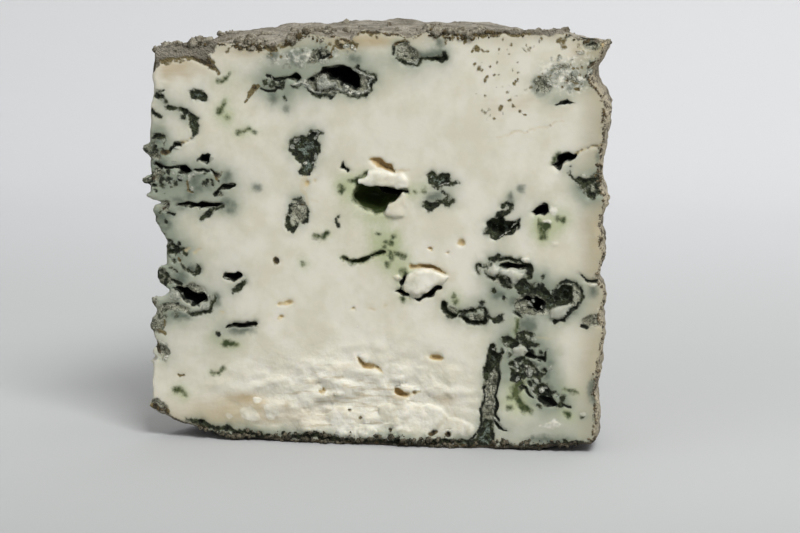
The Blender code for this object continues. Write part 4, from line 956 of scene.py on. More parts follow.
@dataclass(frozen=True)
class WedgeForm:
    """The wedge without its marks, from the same sizes as the solid it replaces."""

    wheel_radius: float = 99.4
    wheel_height: float = 89.6
    top_sag: float = 6.3
    top_sag_reach: float = 26.0
    top_edge_drop: float = 1.5
    top_edge_start: float = 88.0
    tip_curl: float = 7.2
    tip_curl_reach: float = 11.0
    tip_curl_end: float = 0.25
    rim_curl: float = 2.8
    rim_curl_start: float = 70.0
    edge_round: float = 0.9
    bark: float = 0.5
    wrinkle: float = 0.30
    back_drop: float = 1.3
    # The patch of broken curd low on the front: its middle, its reach, and how far it stands out
    flake_middle: tuple[float, float] = (47.0, 9.0)
    flake_reach: tuple[float, float] = (28.0, 12.5)
    ledge_rise: float = 0.42
    crumb_rise: float = 1.25
    # Height, and distance from the wheel's centre, of the ragged tip edge
    tip_edge: tuple[tuple[float, float], ...] = (
        (7, -0.4), (11.7, -0.2), (14.6, 0.2), (16.6, 0.6), (17.3, 1.8), (18.4, 1.2), (19, 0.2), (21.1, 1.4),
        (22.9, 0.8), (25.7, 0.1), (28.4, 1.1), (30, 0.8), (31.4, 3.1), (32.7, 5), (33.6, 3.4), (35.5, 1.9),
        (37.7, 2), (38.4, 3.9), (40.7, 4.2), (43.5, 4), (45.7, 2.7), (47.8, 1.6), (50.5, 0.9), (51.5, 1.4),
        (52.1, 4.1), (52.7, 1), (53.3, 0.2), (55.3, 0.1), (59.6, 0.4), (61.8, 0.2), (66.2, 0.2), (69.6, 0.7),
        (72.2, 0.6), (76.6, 1.5), (80, 1.2), (83, 1.6), (86, 2.2),
    )
    # Height, and distance from the wheel's centre, of the heel's bark at the front
    heel_edge: tuple[tuple[float, float], ...] = (
        (3, 98.4), (8.4, 98.8), (11.2, 98.4), (13.3, 97.5), (14.8, 98.4), (20.7, 98.9), (25.7, 99.9),
        (29.9, 98.8), (32.7, 99.8), (35.3, 99.6), (37.8, 98.1), (39.5, 98.7), (42.7, 99.6), (45.9, 99.5),
        (49.1, 98.5), (54.4, 100), (56.9, 99.1), (59.7, 98.4), (62.8, 98.7), (66, 99.5), (69.2, 100.1),
        (74.4, 100.4), (76.6, 99.4), (78.6, 97.6), (80.4, 96.8), (82.2, 97), (84.4, 98.6), (87.5, 99.8),
        (90, 98.6),
    )
    # Chips and bumps of the top edge at the front: (along, rise, half width)
    top_chips: tuple[Triple, ...] = (
        (6, 0.5, 3), (10.5, -0.4, 2), (17, 1.3, 4.4), (27, -1.2, 3.5), (35.9, 0.5, 2), (44.5, -0.9, 2.6),
        (47.6, 1, 1.6), (57.9, -1, 2.2), (63, 0.3, 2), (84, 0.6, 12),
    )
    # Crests of the top round the wheel's centre: (distance from it, rise, half width)
    top_crests: tuple[Triple, ...] = ((5, 2.2, 8), (1, 0.8, 3), (12, 1.4, 3.6), (26, 0.7, 5))

    def top(self, out: Array) -> Array:
        """Height of the top rind at a distance from the wheel's centre."""
        sag = self.top_sag * np.exp(-((out / self.top_sag_reach) ** 2))
        drop = self.top_edge_drop * smooth_step(out, self.top_edge_start, self.wheel_radius)
        return self.wheel_height - sag - drop

    def base(self, out: Array) -> Array:
        """Height of the base rind at a distance from the wheel's centre."""
        tip = np.maximum(self.tip_curl * np.exp(-out / self.tip_curl_reach) - self.tip_curl_end, 0.0)
        rim = np.maximum(out - self.rim_curl_start, 0.0) / (self.wheel_radius - self.rim_curl_start)
        return tip + self.rim_curl * rim**2

    def heel(self, places: Array) -> Array:
        """Distance of the heel's bark from the wheel's centre."""
        creased = np.interp(places[:, 2], *zip(*self.heel_edge)).astype(np.float32)
        plain = self.wheel_radius + 0.5 * (creased - self.wheel_radius)
        fade = smooth_step(places[:, 1], 2.0, 40.0)
        return creased + (plain - creased) * fade

    def flakes(self, places: Array, lumps: Lumps) -> tuple[Array, Array]:
        """Relief of the front cut face.

        Args:
            places: Where it is read.
            lumps: The unevenness it is drawn from.

        Returns:
            How far the face stands out, and the share of broken curd there.
        """
        across = (places[:, 0] - self.flake_middle[0]) / self.flake_reach[0]
        up = (places[:, 2] - self.flake_middle[1]) / self.flake_reach[1]
        patch = np.exp(-((across**2 + up**2) ** 1.5))
        flat = places * np.array((1.0, 0.0, 1.0), dtype=np.float32)
        steps = 1.7 * lumps.fractal(flat + 31.0, (15.0, 15.0, 6.5), 3)
        ledges = np.floor(steps) + smooth_step(steps - np.floor(steps), 0.7, 1.0)
        crumbs = np.abs(lumps.fractal(flat + 7.0, (8.0, 8.0, 4.6), 4))
        even = 0.10 * lumps.fractal(flat, 15.0, 2) + 0.035 * lumps.read(flat + 3.0, 2.6)
        return even + patch * (self.ledge_rise * ledges + self.crumb_rise * crumbs), patch

    def chips(self, places: Array, out: Array) -> Array:
        """How far the top rind stands above its even form, or less than nought where it is chipped.

        Args:
            places: Where it is read.
            out: Their distances from the wheel's centre.

        Returns:
            The rise at each.
        """
        rise = np.zeros_like(out)
        for along, lift, half in self.top_chips:
            rise += lift * np.exp(-(((places[:, 0] - along) / half) ** 2))
        rise *= np.exp(-np.maximum(places[:, 1], 0.0) / 3.0)
        for middle, lift, half in self.top_crests:
            rise += lift * np.exp(-(((out - middle) / half) ** 2))
        rise -= self.back_drop * smooth_step(places[:, 0], 60.0, 84.0) * smooth_step(places[:, 1], 2.0, 14.0)
        return rise

    def sheets(self, places: Array, lumps: Lumps) -> dict[str, Array]:
        """Distances from each sheet that bounds the wedge.

        Args:
            places: Where they are read.
            lumps: The unevenness they are drawn from.

        Returns:
            The distances by the sheet's name, less than nought inside.
        """
        out = np.hypot(places[:, 0], places[:, 1])
        bark = self.bark * lumps.fractal(places + 11.0, (9.0, 9.0, 6.0), 3)
        wrinkle = self.wrinkle * lumps.fractal(places + 53.0, (2.6, 2.6, 2.0), 2)
        front_relief, _ = self.flakes(places, lumps)
        _, _, second_depth = BACK.read(places)
        second_relief = 0.14 * lumps.fractal(places + 91.0, 12.0, 3)
        bottom = self.base(out)
        lifted = smooth_step(bottom, 0.05, 0.8)
        ragged = 0.35 * lumps.fractal(places + 5.0, 2.2, 2)
        return {
            "front": -(places[:, 1] + front_relief),
            "second": -(second_depth + second_relief),
            "top": places[:, 2] - self.top(out) - self.chips(places, out) - bark - wrinkle,
            "base": bottom + lifted * (bark + wrinkle) - places[:, 2],
            "heel": out - self.heel(places) - bark - wrinkle,
            "tip": np.interp(places[:, 2], *zip(*self.tip_edge)).astype(np.float32) + ragged - places[:, 0],
        }

    def distance(self, sheets: Mapping[str, Array]) -> Array:
        """Distance from the bare wedge, with its edges rounded."""
        total = sheets["front"]
        for name in ("second", "top", "base", "heel", "tip"):
            total = smooth_max(total, sheets[name], self.edge_round)
        return total


class FaceView:
    """Places as one cut face sees them, sorted so that a mark finds its own quickly."""

    ABOVE = 3.0

    def __init__(self, face: CutFace, places: Array, lumps: Lumps) -> None:
        """Reads and sorts the places, which are moved a little so that no outline is even."""
        along, height, self.depth = face.read(places)
        self.along = along + 0.30 * lumps.read(places + 61.0, 2.3) + 0.26 * lumps.read(places + 29.0, 0.95)
        self.height = height + 0.30 * lumps.read(places + 83.0, 2.3) + 0.26 * lumps.read(places + 37.0, 0.95)
        self.order = np.argsort(self.along)
        self.sorted = self.along[self.order]

    def near(self, box: Sequence[float], depth: float, margin: float) -> Array:
        """Picks the places in a box on the face.

        Args:
            box: Lowest and highest place along the face, then lowest and highest height.
            depth: How deep the box goes.
            margin: How far round the box they still count.

        Returns:
            Their numbers.
        """
        low, high, bottom, top = box
        start, end = np.searchsorted(self.sorted, (low - margin, high + margin))
        picked = self.order[start:end]
        height = self.height[picked]
        into = self.depth[picked]
        keep = (height > bottom - margin) & (height < top + margin)
        keep &= (into > -self.ABOVE) & (into < depth + margin)
        return picked[keep]

    def at(self, picked: Array) -> tuple[Array, Array, Array]:
        """Along, height and depth of picked places."""
        return self.along[picked], self.height[picked], self.depth[picked]


@dataclass(frozen=True)
class Lattice:
    """Sampling places whose cells grow in proportion with the distance behind the front face."""

    step: float = 0.44
    growth: float = 0.04
    middle: tuple[float, float] = (49.5, 44.7)
    half_counts: tuple[int, int] = (122, 108)
    before: int = 9
    behind: int = 90

    def shape(self) -> tuple[int, int, int]:
        """How many places there are each way."""
        return 2 * self.half_counts[0] + 1, self.before + self.behind, 2 * self.half_counts[1] + 1

    def place(self, index: Array) -> Array:
        """Places in millimetres of whole or broken lattice numbers, one row each."""
        scale = np.exp(self.growth * self.step * (index[:, 1] - self.before))
        return np.stack(
            (
                self.middle[0] + self.step * scale * (index[:, 0] - self.half_counts[0]),
                (scale - 1.0) / self.growth,
                self.middle[1] + self.step * scale * (index[:, 2] - self.half_counts[1]),
            ),
            axis=1,
        ).astype(np.float32)


class SurfaceNet:
    """Turns distances on a lattice into one closed surface of four-sided faces."""

    CORNERS = np.array([(i >> 2 & 1, i >> 1 & 1, i & 1) for i in range(8)])
    EDGES = [(a, b) for a in range(8) for b in range(a + 1, 8) if (a ^ b) in (1, 2, 4)]

    def __init__(self, field: Array) -> None:
        """Finds a point in each cell that the surface passes, and the faces that join them."""
        inside = field < 0.0
        sizes = field.shape
        count = np.zeros([size - 1 for size in sizes], dtype=np.uint8)
        for corner in self.CORNERS:
            count += inside[tuple(slice(c, size - 1 + c) for c, size in zip(corner, sizes))]
        active = (count > 0) & (count < 8)
        cells = np.argwhere(active)
        number = np.full(active.shape, -1, dtype=np.int32)
        number[active] = np.arange(len(cells), dtype=np.int32)
        values = np.stack([field[tuple((cells + corner).T)] for corner in self.CORNERS], axis=1)
        total = np.zeros((len(cells), 3))
        crossings = np.zeros(len(cells))
        for first, last in self.EDGES:
            before, after = values[:, first], values[:, last]
            crosses = (before < 0.0) != (after < 0.0)
            share = np.where(crosses, before / np.where(crosses, before - after, 1.0), 0.0)
            point = self.CORNERS[first] + share[:, None] * (self.CORNERS[last] - self.CORNERS[first])
            total += point * crosses[:, None]
            crossings += crosses
        self.spots = cells + total / crossings[:, None]
        self.faces = np.concatenate([self._faces(inside, number, axis) for axis in range(3)])

    @staticmethod
    def _faces(inside: Array, number: Array, axis: int) -> Array:
        """Faces across the lattice lines that run along one axis.

        Args:
            inside: Whether each lattice place is inside.
            number: The number of each cell's point.
            axis: The axis.

        Returns:
            Four point numbers for each face, turned outwards.
        """
        across, up = (axis + 1) % 3, (axis + 2) % 3
        low = [slice(1, -1)] * 3
        high = [slice(1, -1)] * 3
        low[axis], high[axis] = slice(0, -1), slice(1, None)
        starts_in, ends_in = inside[tuple(low)], inside[tuple(high)]
        lines = np.argwhere(starts_in != ends_in)
        outward = starts_in[tuple(lines.T)]
        lines[:, across] += 1
        lines[:, up] += 1
        loop = []
        for step_across, step_up in ((1, 1), (0, 1), (0, 0), (1, 0)):
            cell = lines.copy()
            cell[:, across] -= step_across
            cell[:, up] -= step_up
            loop.append(number[tuple(cell.T)])
        faces = np.stack(loop, axis=1)
        faces[~outward] = faces[~outward][:, ::-1]
        return faces


def make_mesh(name: str, places: Array, faces: Array) -> bpy.types.Object:
    """A smooth mesh object in the part's own place.

    Args:
        name: The object's name.
        places: Corners in the wedge's axes, in millimetres.
        faces: Corner numbers of each face.

    Returns:
        The object, linked to the scene.
    """
    mesh = bpy.data.meshes.new(name)
    mesh.from_pydata(((places + np.array(TIP_PLACE)) * MM).tolist(), [], faces.tolist())
    mesh.shade_smooth()
    made = bpy.data.objects.new(name, mesh)
    bpy.context.scene.collection.objects.link(made)
    return made


class Wire:
    """A shader socket on which Python's operators add Math nodes."""

    def __init__(self, board: "Board", socket: bpy.types.NodeSocket) -> None:
        """Keeps the board that the socket is on."""
        self.board = board
        self.socket = socket

    def __add__(self, other: "Value") -> "Wire":
        """Sum."""
        return self.board.math("ADD", self, other)

    def __sub__(self, other: "Value") -> "Wire":
        """Difference."""
        return self.board.math("SUBTRACT", self, other)

    def __rsub__(self, other: "Value") -> "Wire":
        """Difference from a number."""
        return self.board.math("SUBTRACT", other, self)

    def __mul__(self, other: "Value") -> "Wire":
        """Product."""
        return self.board.math("MULTIPLY", self, other)

    __radd__ = __add__
    __rmul__ = __mul__


Value = Union[Wire, float]
Settings = Mapping[str, object]


class Board:
    """A material's nodes."""

    def __init__(self, name: str) -> None:
        """Makes an empty material."""
        self.material = bpy.data.materials.new(name)
        self.material.use_nodes = True
        self.tree = self.material.node_tree
        self.tree.nodes.clear()
        self.object_places = self.wire("ShaderNodeTexCoord", {}, {}, "Object")

    def node(self, kind: str, settings: Settings, values: Mapping[str, object]) -> bpy.types.Node:
        """Adds a node.

        Args:
            kind: The node's type.
            settings: Its own settings, or the stops of its ramp.
            values: A wire or a plain value for each socket, by name or identifier.

        Returns:
            The node.
        """
        made = self.tree.nodes.new(kind)
        for name, setting in settings.items():
            if name == "stops":
                self._set_stops(made.color_ramp, setting)
            else:
                setattr(made, name, setting)
        for name, value in values.items():
            sockets = [s for s in made.inputs if s.identifier == name] or [made.inputs[name]]
            if isinstance(value, Wire):
                self.tree.links.new(value.socket, sockets[0])
            else:
                sockets[0].default_value = value
        return made

    @staticmethod
    def _set_stops(ramp: bpy.types.ColorRamp, stops: Sequence[tuple[float, Colour]]) -> None:
        """Gives a ramp its stops."""
        while len(ramp.elements) < len(stops):
            ramp.elements.new(1.0)
        for element, (position, colour) in zip(ramp.elements, stops):
            element.position = position
            element.color = (*colour, 1.0)

    def wire(self, kind: str, settings: Settings, values: Mapping[str, object], output: str) -> Wire:
        """Adds a node and gives one of its outputs, by name or identifier."""
        made = self.node(kind, settings, values)
        sockets = [s for s in made.outputs if s.identifier == output] or [made.outputs[output]]
        return Wire(self, sockets[0])

    def math(self, operation: str, first: Value, second: Value = 0.0) -> Wire:
        """A Math node."""
        values = {"Value": first, "Value_001": second}
        return self.wire("ShaderNodeMath", {"operation": operation}, values, "Value")

    def largest(self, first: Value, second: Value) -> Wire:
        """The larger of two values."""
        return self.math("MAXIMUM", first, second)

    def read(self, name: str) -> Wire:
        """The value that the mesh's vertices carry under a name."""
        settings = {"attribute_name": name, "attribute_type": "GEOMETRY"}
        return self.wire("ShaderNodeAttribute", settings, {}, "Fac")

    def lumps(self, size: float, detail: float = 2.0, stretch: Colour = (1.0, 1.0, 1.0)) -> Wire:
        """Noise centred on nought with lumps of a size in millimetres."""
        scale = tuple(1.0 / (size * MM * part) for part in stretch)
        places = self.wire("ShaderNodeMapping", {}, {"Vector": self.object_places, "Scale": scale}, "Vector")
        inputs = {"Vector": places, "Scale": 1.0, "Detail": detail}
        noise = self.wire("ShaderNodeTexNoise", {}, inputs, "Fac")
        return noise - 0.5

    def share(self, value: Value, start: float, end: float) -> Wire:
        """Nought at start and one at end, smoothly."""
        values = {"Value": value, "From Min": start, "From Max": end}
        return self.wire("ShaderNodeMapRange", {"interpolation_type": "SMOOTHSTEP"}, values, "Result")

    def ramp(self, value: Wire, stops: Sequence[tuple[float, Colour]]) -> Wire:
        """A colour from a value between 0 and 1."""
        return self.wire("ShaderNodeValToRGB", {"stops": stops}, {"Fac": value}, "Color")

    def mix(self, share: Value, first: object, second: object) -> Wire:
        """A colour between two colours."""
        values = {"Factor_Float": share, "A_Color": self._colour(first), "B_Color": self._colour(second)}
        return self.wire("ShaderNodeMix", {"data_type": "RGBA"}, values, "Result_Color")

    @staticmethod
    def _colour(value: object) -> object:
        """A wire as it is, and a plain colour with its fourth number."""
        return value if isinstance(value, Wire) else (*value, 1.0)

    def bump(self, height: Wire, distance: float, strength: float = 1.0) -> Wire:
        """A normal from heights, with the distance in millimetres that one stands for."""
        values = {"Height": height, "Distance": distance * MM, "Strength": strength}
        return self.wire("ShaderNodeBump", {}, values, "Normal")

    def finish(self, shader: Wire) -> bpy.types.Material:
        """Joins the shader to the output and gives the material."""
        self.node("ShaderNodeOutputMaterial", {}, {"Surface": shader})
        return self.material


class CheeseBoard(Board):
    """The cheese's nodes, with the unevenness and the values that its colours share."""

    def __init__(self) -> None:
        """Adds the unevenness and reads the values that more than one colour uses."""
        super().__init__("cheese_paste_and_rind")
        self.coarse, self.middling = self.lumps(9.0, 3.0), self.lumps(2.2, 3.0)
        self.fine, self.grain = self.lumps(0.75, 2.0), self.lumps(0.32, 1.0)
        self.streaks = self.lumps(1.5, 4.0, (3.0, 2.0, 0.5))
        self.wrinkle = self.math("ABSOLUTE", self.lumps(1.5, 2.0))
        self.wobble = self.middling * 0.5 + self.fine * 0.8
        self.sharp = self.fine * 0.7 + self.grain * 0.5
        self.marbled = self.middling * 0.7 + self.fine * 0.8
        self.rind_gap, self.rim_gap = self.read("rind"), self.read("rim")
        self.flake, self.depth = self.read(Glow.FLAKE.value), self.read("depth")
        self.halo, self.mould_gap = self.read(Glow.HALO.value), self.read(Lining.MOULD.value)

    def painted(self, lining: Lining, start: float, end: float, wander: Wire) -> Wire:
        """Share of a lining, from its distance and a wandering edge."""
        return self.share(self.read(lining.value) + wander, start, end)


@dataclass(frozen=True)
class CheeseFinish:
    """Colours of the paste, mould and rind, as linear light."""

    ivory: Colour = (0.655, 0.63, 0.54)
    cream: Colour = (0.585, 0.555, 0.445)
    curd: Colour = (0.70, 0.68, 0.59)
    # Tan of the paste's own stains, also used for painted warm shade under curd ledges.
    tan: Colour = (0.42, 0.335, 0.195)
    rim: Colour = (0.36, 0.325, 0.225)
    stain: Colour = (0.24, 0.268, 0.205)
    tint: Colour = (0.385, 0.42, 0.245)
    cloud: Colour = (0.085, 0.105, 0.08)
    olive: Colour = (0.068, 0.084, 0.026)
    # Dark green of the mould; deeper in green hollows it also stands for painted shade.
    deep_green: Colour = (0.030, 0.045, 0.010)
    # Honey at the face and darker ochre deeper in a mark; the darker part is painted warm shade.
    honey: Colour = (0.52, 0.425, 0.235)
    ochre: Colour = (0.36, 0.235, 0.075)
    mottle: Colour = (0.37, 0.365, 0.31)
    # Near black deep in holes and cracks: painted shade.
    hole: Colour = (0.006, 0.009, 0.006)
    mould_dark: Colour = (0.009, 0.012, 0.005)
    mould_green: Colour = (0.036, 0.044, 0.018)
    mould_blue: Colour = (0.165, 0.20, 0.165)
    mould_pale: Colour = (0.125, 0.130, 0.082)
    grey_wrinkle: Colour = (0.026, 0.027, 0.014)
    grey_middle: Colour = (0.150, 0.148, 0.098)
    grey_pale: Colour = (0.40, 0.395, 0.31)
    lip: Colour = (0.285, 0.30, 0.25)
    rind_dark: Colour = (0.050, 0.039, 0.023)
    rind_grey: Colour = (0.152, 0.133, 0.095)
    rind_pale: Colour = (0.34, 0.312, 0.252)
    rind_tan: Colour = (0.44, 0.385, 0.275)
    brown: Colour = (0.036, 0.028, 0.014)
    rust: Colour = (0.125, 0.085, 0.036)
    khaki: Colour = (0.165, 0.130, 0.055)
    # Where the heel's rind begins and ends to turn grey, from front to back, in metres
    heel_greying: tuple[float, float] = (-0.043, -0.030)

    def material(self) -> bpy.types.Material:
        """Builds the material that the whole wedge wears: moist paste, and dry mould and rind.

        Returns:
            The material.
        """
        board = CheeseBoard()
        share, middling, fine = board.share, board.middling, board.fine
        bare = board.painted(Lining.BARK, 0.35, 0.0, board.wobble * 0.8)
        rind = share(board.rind_gap + board.sharp * 0.9 + middling * 0.9, 0.7, 0.3)
        rind = board.largest(rind, bare)
        patchy = share(middling + board.coarse * 0.6 + fine * 0.4, -0.03, 0.1)
        crumbly = share(board.rind_gap + board.sharp * 1.2, 1.2, 0.8) * patchy
        mould = share(board.mould_gap + board.wobble * 1.0, 0.42, -0.12)
        brown = board.painted(Lining.BROWN, 0.28, -0.08, board.wobble * 0.5)
        black = board.painted(Lining.BLACK, 0.22, -0.08, board.wobble * 0.35)
        lip = board.painted(Lining.LIP, 0.2, -0.05, board.wobble * 0.6) * 0.9
        covered = board.painted(Lining.CURD, 0.3, -0.15, board.wobble * 0.5) * share(board.depth, 1.4, 0.5)

        crust = board.mix(mould, self._grey(board), self._mould(board))
        crumb = board.mix(share(fine + board.grain * 0.5, -0.1, 0.15), self.brown, self.rust)
        crust = board.mix(crumbly, crust, crumb)
        crust = board.mix(rind, crust, self._rind(board, bare))
        speck = board.mix(share(fine, -0.05, 0.25), self.brown, self.rust)
        crust = board.mix(brown, crust, board.mix(share(board.depth, 0.08, 0.3), self.khaki, speck))
        # Holes and cracks turn from dark mould to near black with depth: painted shade in the hollow.
        hollow = board.mix(share(board.depth + board.marbled * 2.0, 0.6, 2.6), self.mould_dark, self.hole)
        crust = board.mix(black, crust, hollow)
        crust = board.mix(lip, crust, board.mix(share(board.marbled, -0.08, 0.22), self.lip, self.curd))
        paste = board.mix(covered * 0.85, self._paste(board), self._lump(board))

        grey = board.painted(Lining.GREY, 0.5, -0.1, board.wobble * 1.0)
        dry = board.largest(board.largest(grey * 0.9, rind), board.largest(mould, crumbly))
        dry = board.largest(board.largest(dry, black), board.largest(brown, lip * 0.8))
        dry = dry * (1.0 - covered)
        values = {"Fac": dry, "Shader": self._moist(board, paste), "Shader_001": self._dry(board, crust)}
        return board.finish(board.wire("ShaderNodeMixShader", {}, values, "Shader"))

    def _paste(self, board: CheeseBoard) -> Wire:
        """Colour of the paste with its stains, clouds, green mould and ochre cracks, with painted shade
        under curd ledges and deeper in green and ochre hollows.

        Args:
            board: The material's nodes.

        Returns:
            The colour.
        """
        mix, share, wobble, flake = board.mix, board.share, board.wobble, board.flake
        coarse, middling, fine = board.coarse, board.middling, board.fine
        paste = mix(share(coarse + middling * 0.4, -0.16, 0.2), self.ivory, self.cream)
        paste = mix(share(flake + middling * 1.1 + fine * 0.6, 0.45, 0.95) * 0.7, paste, self.curd)
        near_rim = share(board.rim_gap + middling * 3.0 + coarse * 3.0, 8.0, 0.3) * 0.85
        near_roof = share(board.read("roof") + middling * 2.5 + coarse * 2.0, 4.2, 0.3) * 0.75
        near_base = share(board.rind_gap + middling * 2.0, 3.6, 0.2) * 0.5
        paste = mix(board.largest(board.largest(near_rim, near_roof), near_base), paste, self.rim)
        tan_and_ledge_shade = board.read(Glow.TAN.value) + board.streaks * 0.25
        # Horizontal tan streaks over the broken curd stand for the warm shade under its ledges: painted
        # shade, added to the paste's own tan stains.
        tan_and_ledge_shade = board.largest(tan_and_ledge_shade, share(flake * 0.5 + board.streaks, 0.42, 0.62) * 0.5)
        paste = mix(share(tan_and_ledge_shade, 0.05, 0.9), paste, self.tan)
        paste = mix(share(board.halo + middling * 0.14, 0.05, 0.95), paste, self.stain)
        paste = mix(share(board.read(Glow.TINT.value) + wobble * 0.35, 0.08, 1.0), paste, self.tint)
        mottle = share(board.read(Glow.MOTTLE.value) + wobble * 1.1, 0.3, 0.95)
        paste = mix(mottle * 0.9, paste, mix(share(fine + middling, -0.15, 0.2), self.mottle, self.curd))
        paste = mix(board.painted(Lining.CLOUD, 1.0, -0.7, wobble * 1.3) * 0.8, paste, self.cloud)
        green_mould_and_shade = mix(share(middling + fine * 0.7, -0.1, 0.12), self.deep_green, self.olive)
        # Deeper in, the green darkens to deep green: painted shade in the hollow over the mould's own green.
        green_mould_and_shade = mix(share(board.depth, 0.5, 2.5), green_mould_and_shade, self.deep_green)
        paste = mix(board.painted(Lining.GREEN, 0.7, -0.35, wobble * 1.2), paste, green_mould_and_shade)
        ochre = board.painted(Lining.OCHRE, 0.35, -0.15, wobble * 0.6)
        # Sunk ochre marks grow stronger and turn from honey to darker ochre with depth: painted warm shade
        # in the slot over its honey stain.
        ochre = ochre * (share(board.depth, 0.0, 0.25) * 0.55 + 0.35)
        return mix(ochre, paste, mix(share(board.depth, 0.0, 0.9), self.honey, self.ochre))

    def _lump(self, board: CheeseBoard) -> Wire:
        """Colour of curd that stands out, greyed near mould."""
        lump = board.mix(board.share(board.middling + board.coarse, -0.15, 0.2), self.curd, self.cream)
        greyed = board.share(board.halo + board.fine * 0.9 + board.middling * 0.4, 0.15, 0.9) * 0.7
        return board.mix(greyed, lump, self.lip)

    def _grey(self, board: CheeseBoard) -> Wire:
        """Colour of the grey dry walls, with dark wrinkles."""
        grey = board.share(board.middling + board.sharp * 0.6, -0.18, 0.2)
        wrinkled = board.share(board.wrinkle + board.grain * 0.05, 0.055, 0.01) * 0.85
        return board.mix(wrinkled, board.mix(grey, self.grey_middle, self.grey_pale), self.grey_wrinkle)

    def _mould(self, board: CheeseBoard) -> Wire:
        """Colour of the mould: dark green, bluer at its heart and pale at its edge.

        Args:
            board: The material's nodes.

        Returns:
            The colour.
        """
        mix, share, marbled = board.mix, board.share, board.marbled
        mould = mix(share(marbled, -0.14, 0.08), self.mould_dark, self.mould_green)
        heart = share(board.mould_gap + marbled * 2.5, -0.25, -0.8)
        heart = heart * share(board.fine * 0.5 + board.middling, 0.0, 0.12)
        mould = mix(heart * 0.9, mould, self.mould_blue)
        mould = mix(share(board.wrinkle, 0.045, 0.01) * 0.5, mould, self.mould_dark)
        return mix(share(board.mould_gap + board.wobble * 0.9, 0.12, 0.5) * 0.6, mould, self.mould_pale)

    def _rind(self, board: CheeseBoard, bare: Wire) -> Wire:
        """Colour of the rind: grey on top, tan with specks at the heel and dark at the foot.

        Args:
            board: The material's nodes.
            bare: Share of the rind that laps over the front face.

        Returns:
            The colour.
        """
        mix, share, streaks, sharp = board.mix, board.share, board.streaks, board.sharp
        coarse, middling, fine = board.coarse, board.middling, board.fine
        rind = mix(share(coarse + middling * 0.6 + streaks * 0.4, -0.2, 0.2), self.rind_grey, self.rind_pale)
        rind = mix(share(streaks + fine * 0.5, 0.06, 0.26) * 0.9, rind, self.rind_dark)
        bark = mix(share(middling + fine * 0.8, -0.2, 0.02), self.rind_dark, self.rind_tan)
        side = share(board.rim_gap + coarse * 2.0, 3.0, 0.6)
        inward = board.wire("ShaderNodeSeparateXYZ", {}, {"Vector": board.object_places}, "Y")
        behind = side * share(inward + coarse * 0.02, *self.heel_greying)
        rind = mix(side * (0.9 - behind * 0.55), rind, bark)
        height = board.wire("ShaderNodeSeparateXYZ", {}, {"Vector": board.object_places}, "Z")
        rind = mix(share(height + middling * 0.004, 0.0065, 0.0015) * 0.8, rind, self.rind_dark)
        rind = mix(share(sharp + middling * 0.3, 0.12, 0.3) * (0.75 - behind * 0.5), rind, self.brown)
        bloom = behind * share(coarse + streaks * 0.7, -0.02, 0.22)
        rind = mix(bloom * 0.45, rind, self.rind_pale)
        return mix(bare * share(middling + streaks, -0.3, 0.1) * 0.5, rind, self.rind_dark)

    @staticmethod
    def _moist(board: CheeseBoard, colour: Wire) -> Wire:
        """Shader of the paste, which light enters.

        Args:
            board: The material's nodes.
            colour: The paste's colour.

        Returns:
            The shader.
        """
        middling, fine, flake = board.middling, board.fine, board.flake
        relief = board.coarse * 0.5 + fine * 0.05 + flake * (fine * 0.5 + middling * 0.5)
        values = {
            "Base Color": colour,
            "Roughness": 0.5 + fine * 0.2 + flake * 0.2,
            "Subsurface Weight": 0.35,
            "Subsurface Radius": (1.0, 0.75, 0.45),
            "Subsurface Scale": 1.6 * MM,
            "Specular IOR Level": 0.35,
            "Normal": board.bump(relief, 0.35),
        }
        return board.wire("ShaderNodeBsdfPrincipled", {}, values, "BSDF")

    @staticmethod
    def _dry(board: CheeseBoard, colour: Wire) -> Wire:
        """Shader of mould and rind."""
        relief = board.fine * 0.9 + board.grain * 0.7 + board.middling * 0.5
        values = {"Base Color": colour, "Roughness": 0.7 + board.fine * 0.3, "Specular IOR Level": 0.3}
        values["Normal"] = board.bump(relief, 0.8)
        return board.wire("ShaderNodeBsdfPrincipled", {}, values, "BSDF")


@dataclass(frozen=True)
class CrumbFinish:
    """The finish of crust crumbs: two colours and how rough they are."""

    name: str
    first: Colour
    second: Colour
    roughness: float = 0.9

    def material(self) -> bpy.types.Material:
        """Builds the crumbs' material.

        Returns:
            The material.
        """
        board = Board(self.name)
        middling, fine = board.lumps(1.3, 2.0), board.lumps(0.4, 2.0)
        colour = board.mix(board.share(middling + fine * 0.6, -0.2, 0.25), self.first, self.second)
        values = {
            "Base Color": colour,
            "Roughness": self.roughness + fine * 0.1,
            "Specular IOR Level": 0.25,
            "Normal": board.bump(fine + middling * 0.4, 0.3),
        }
        return board.finish(board.wire("ShaderNodeBsdfPrincipled", {}, values, "BSDF"))


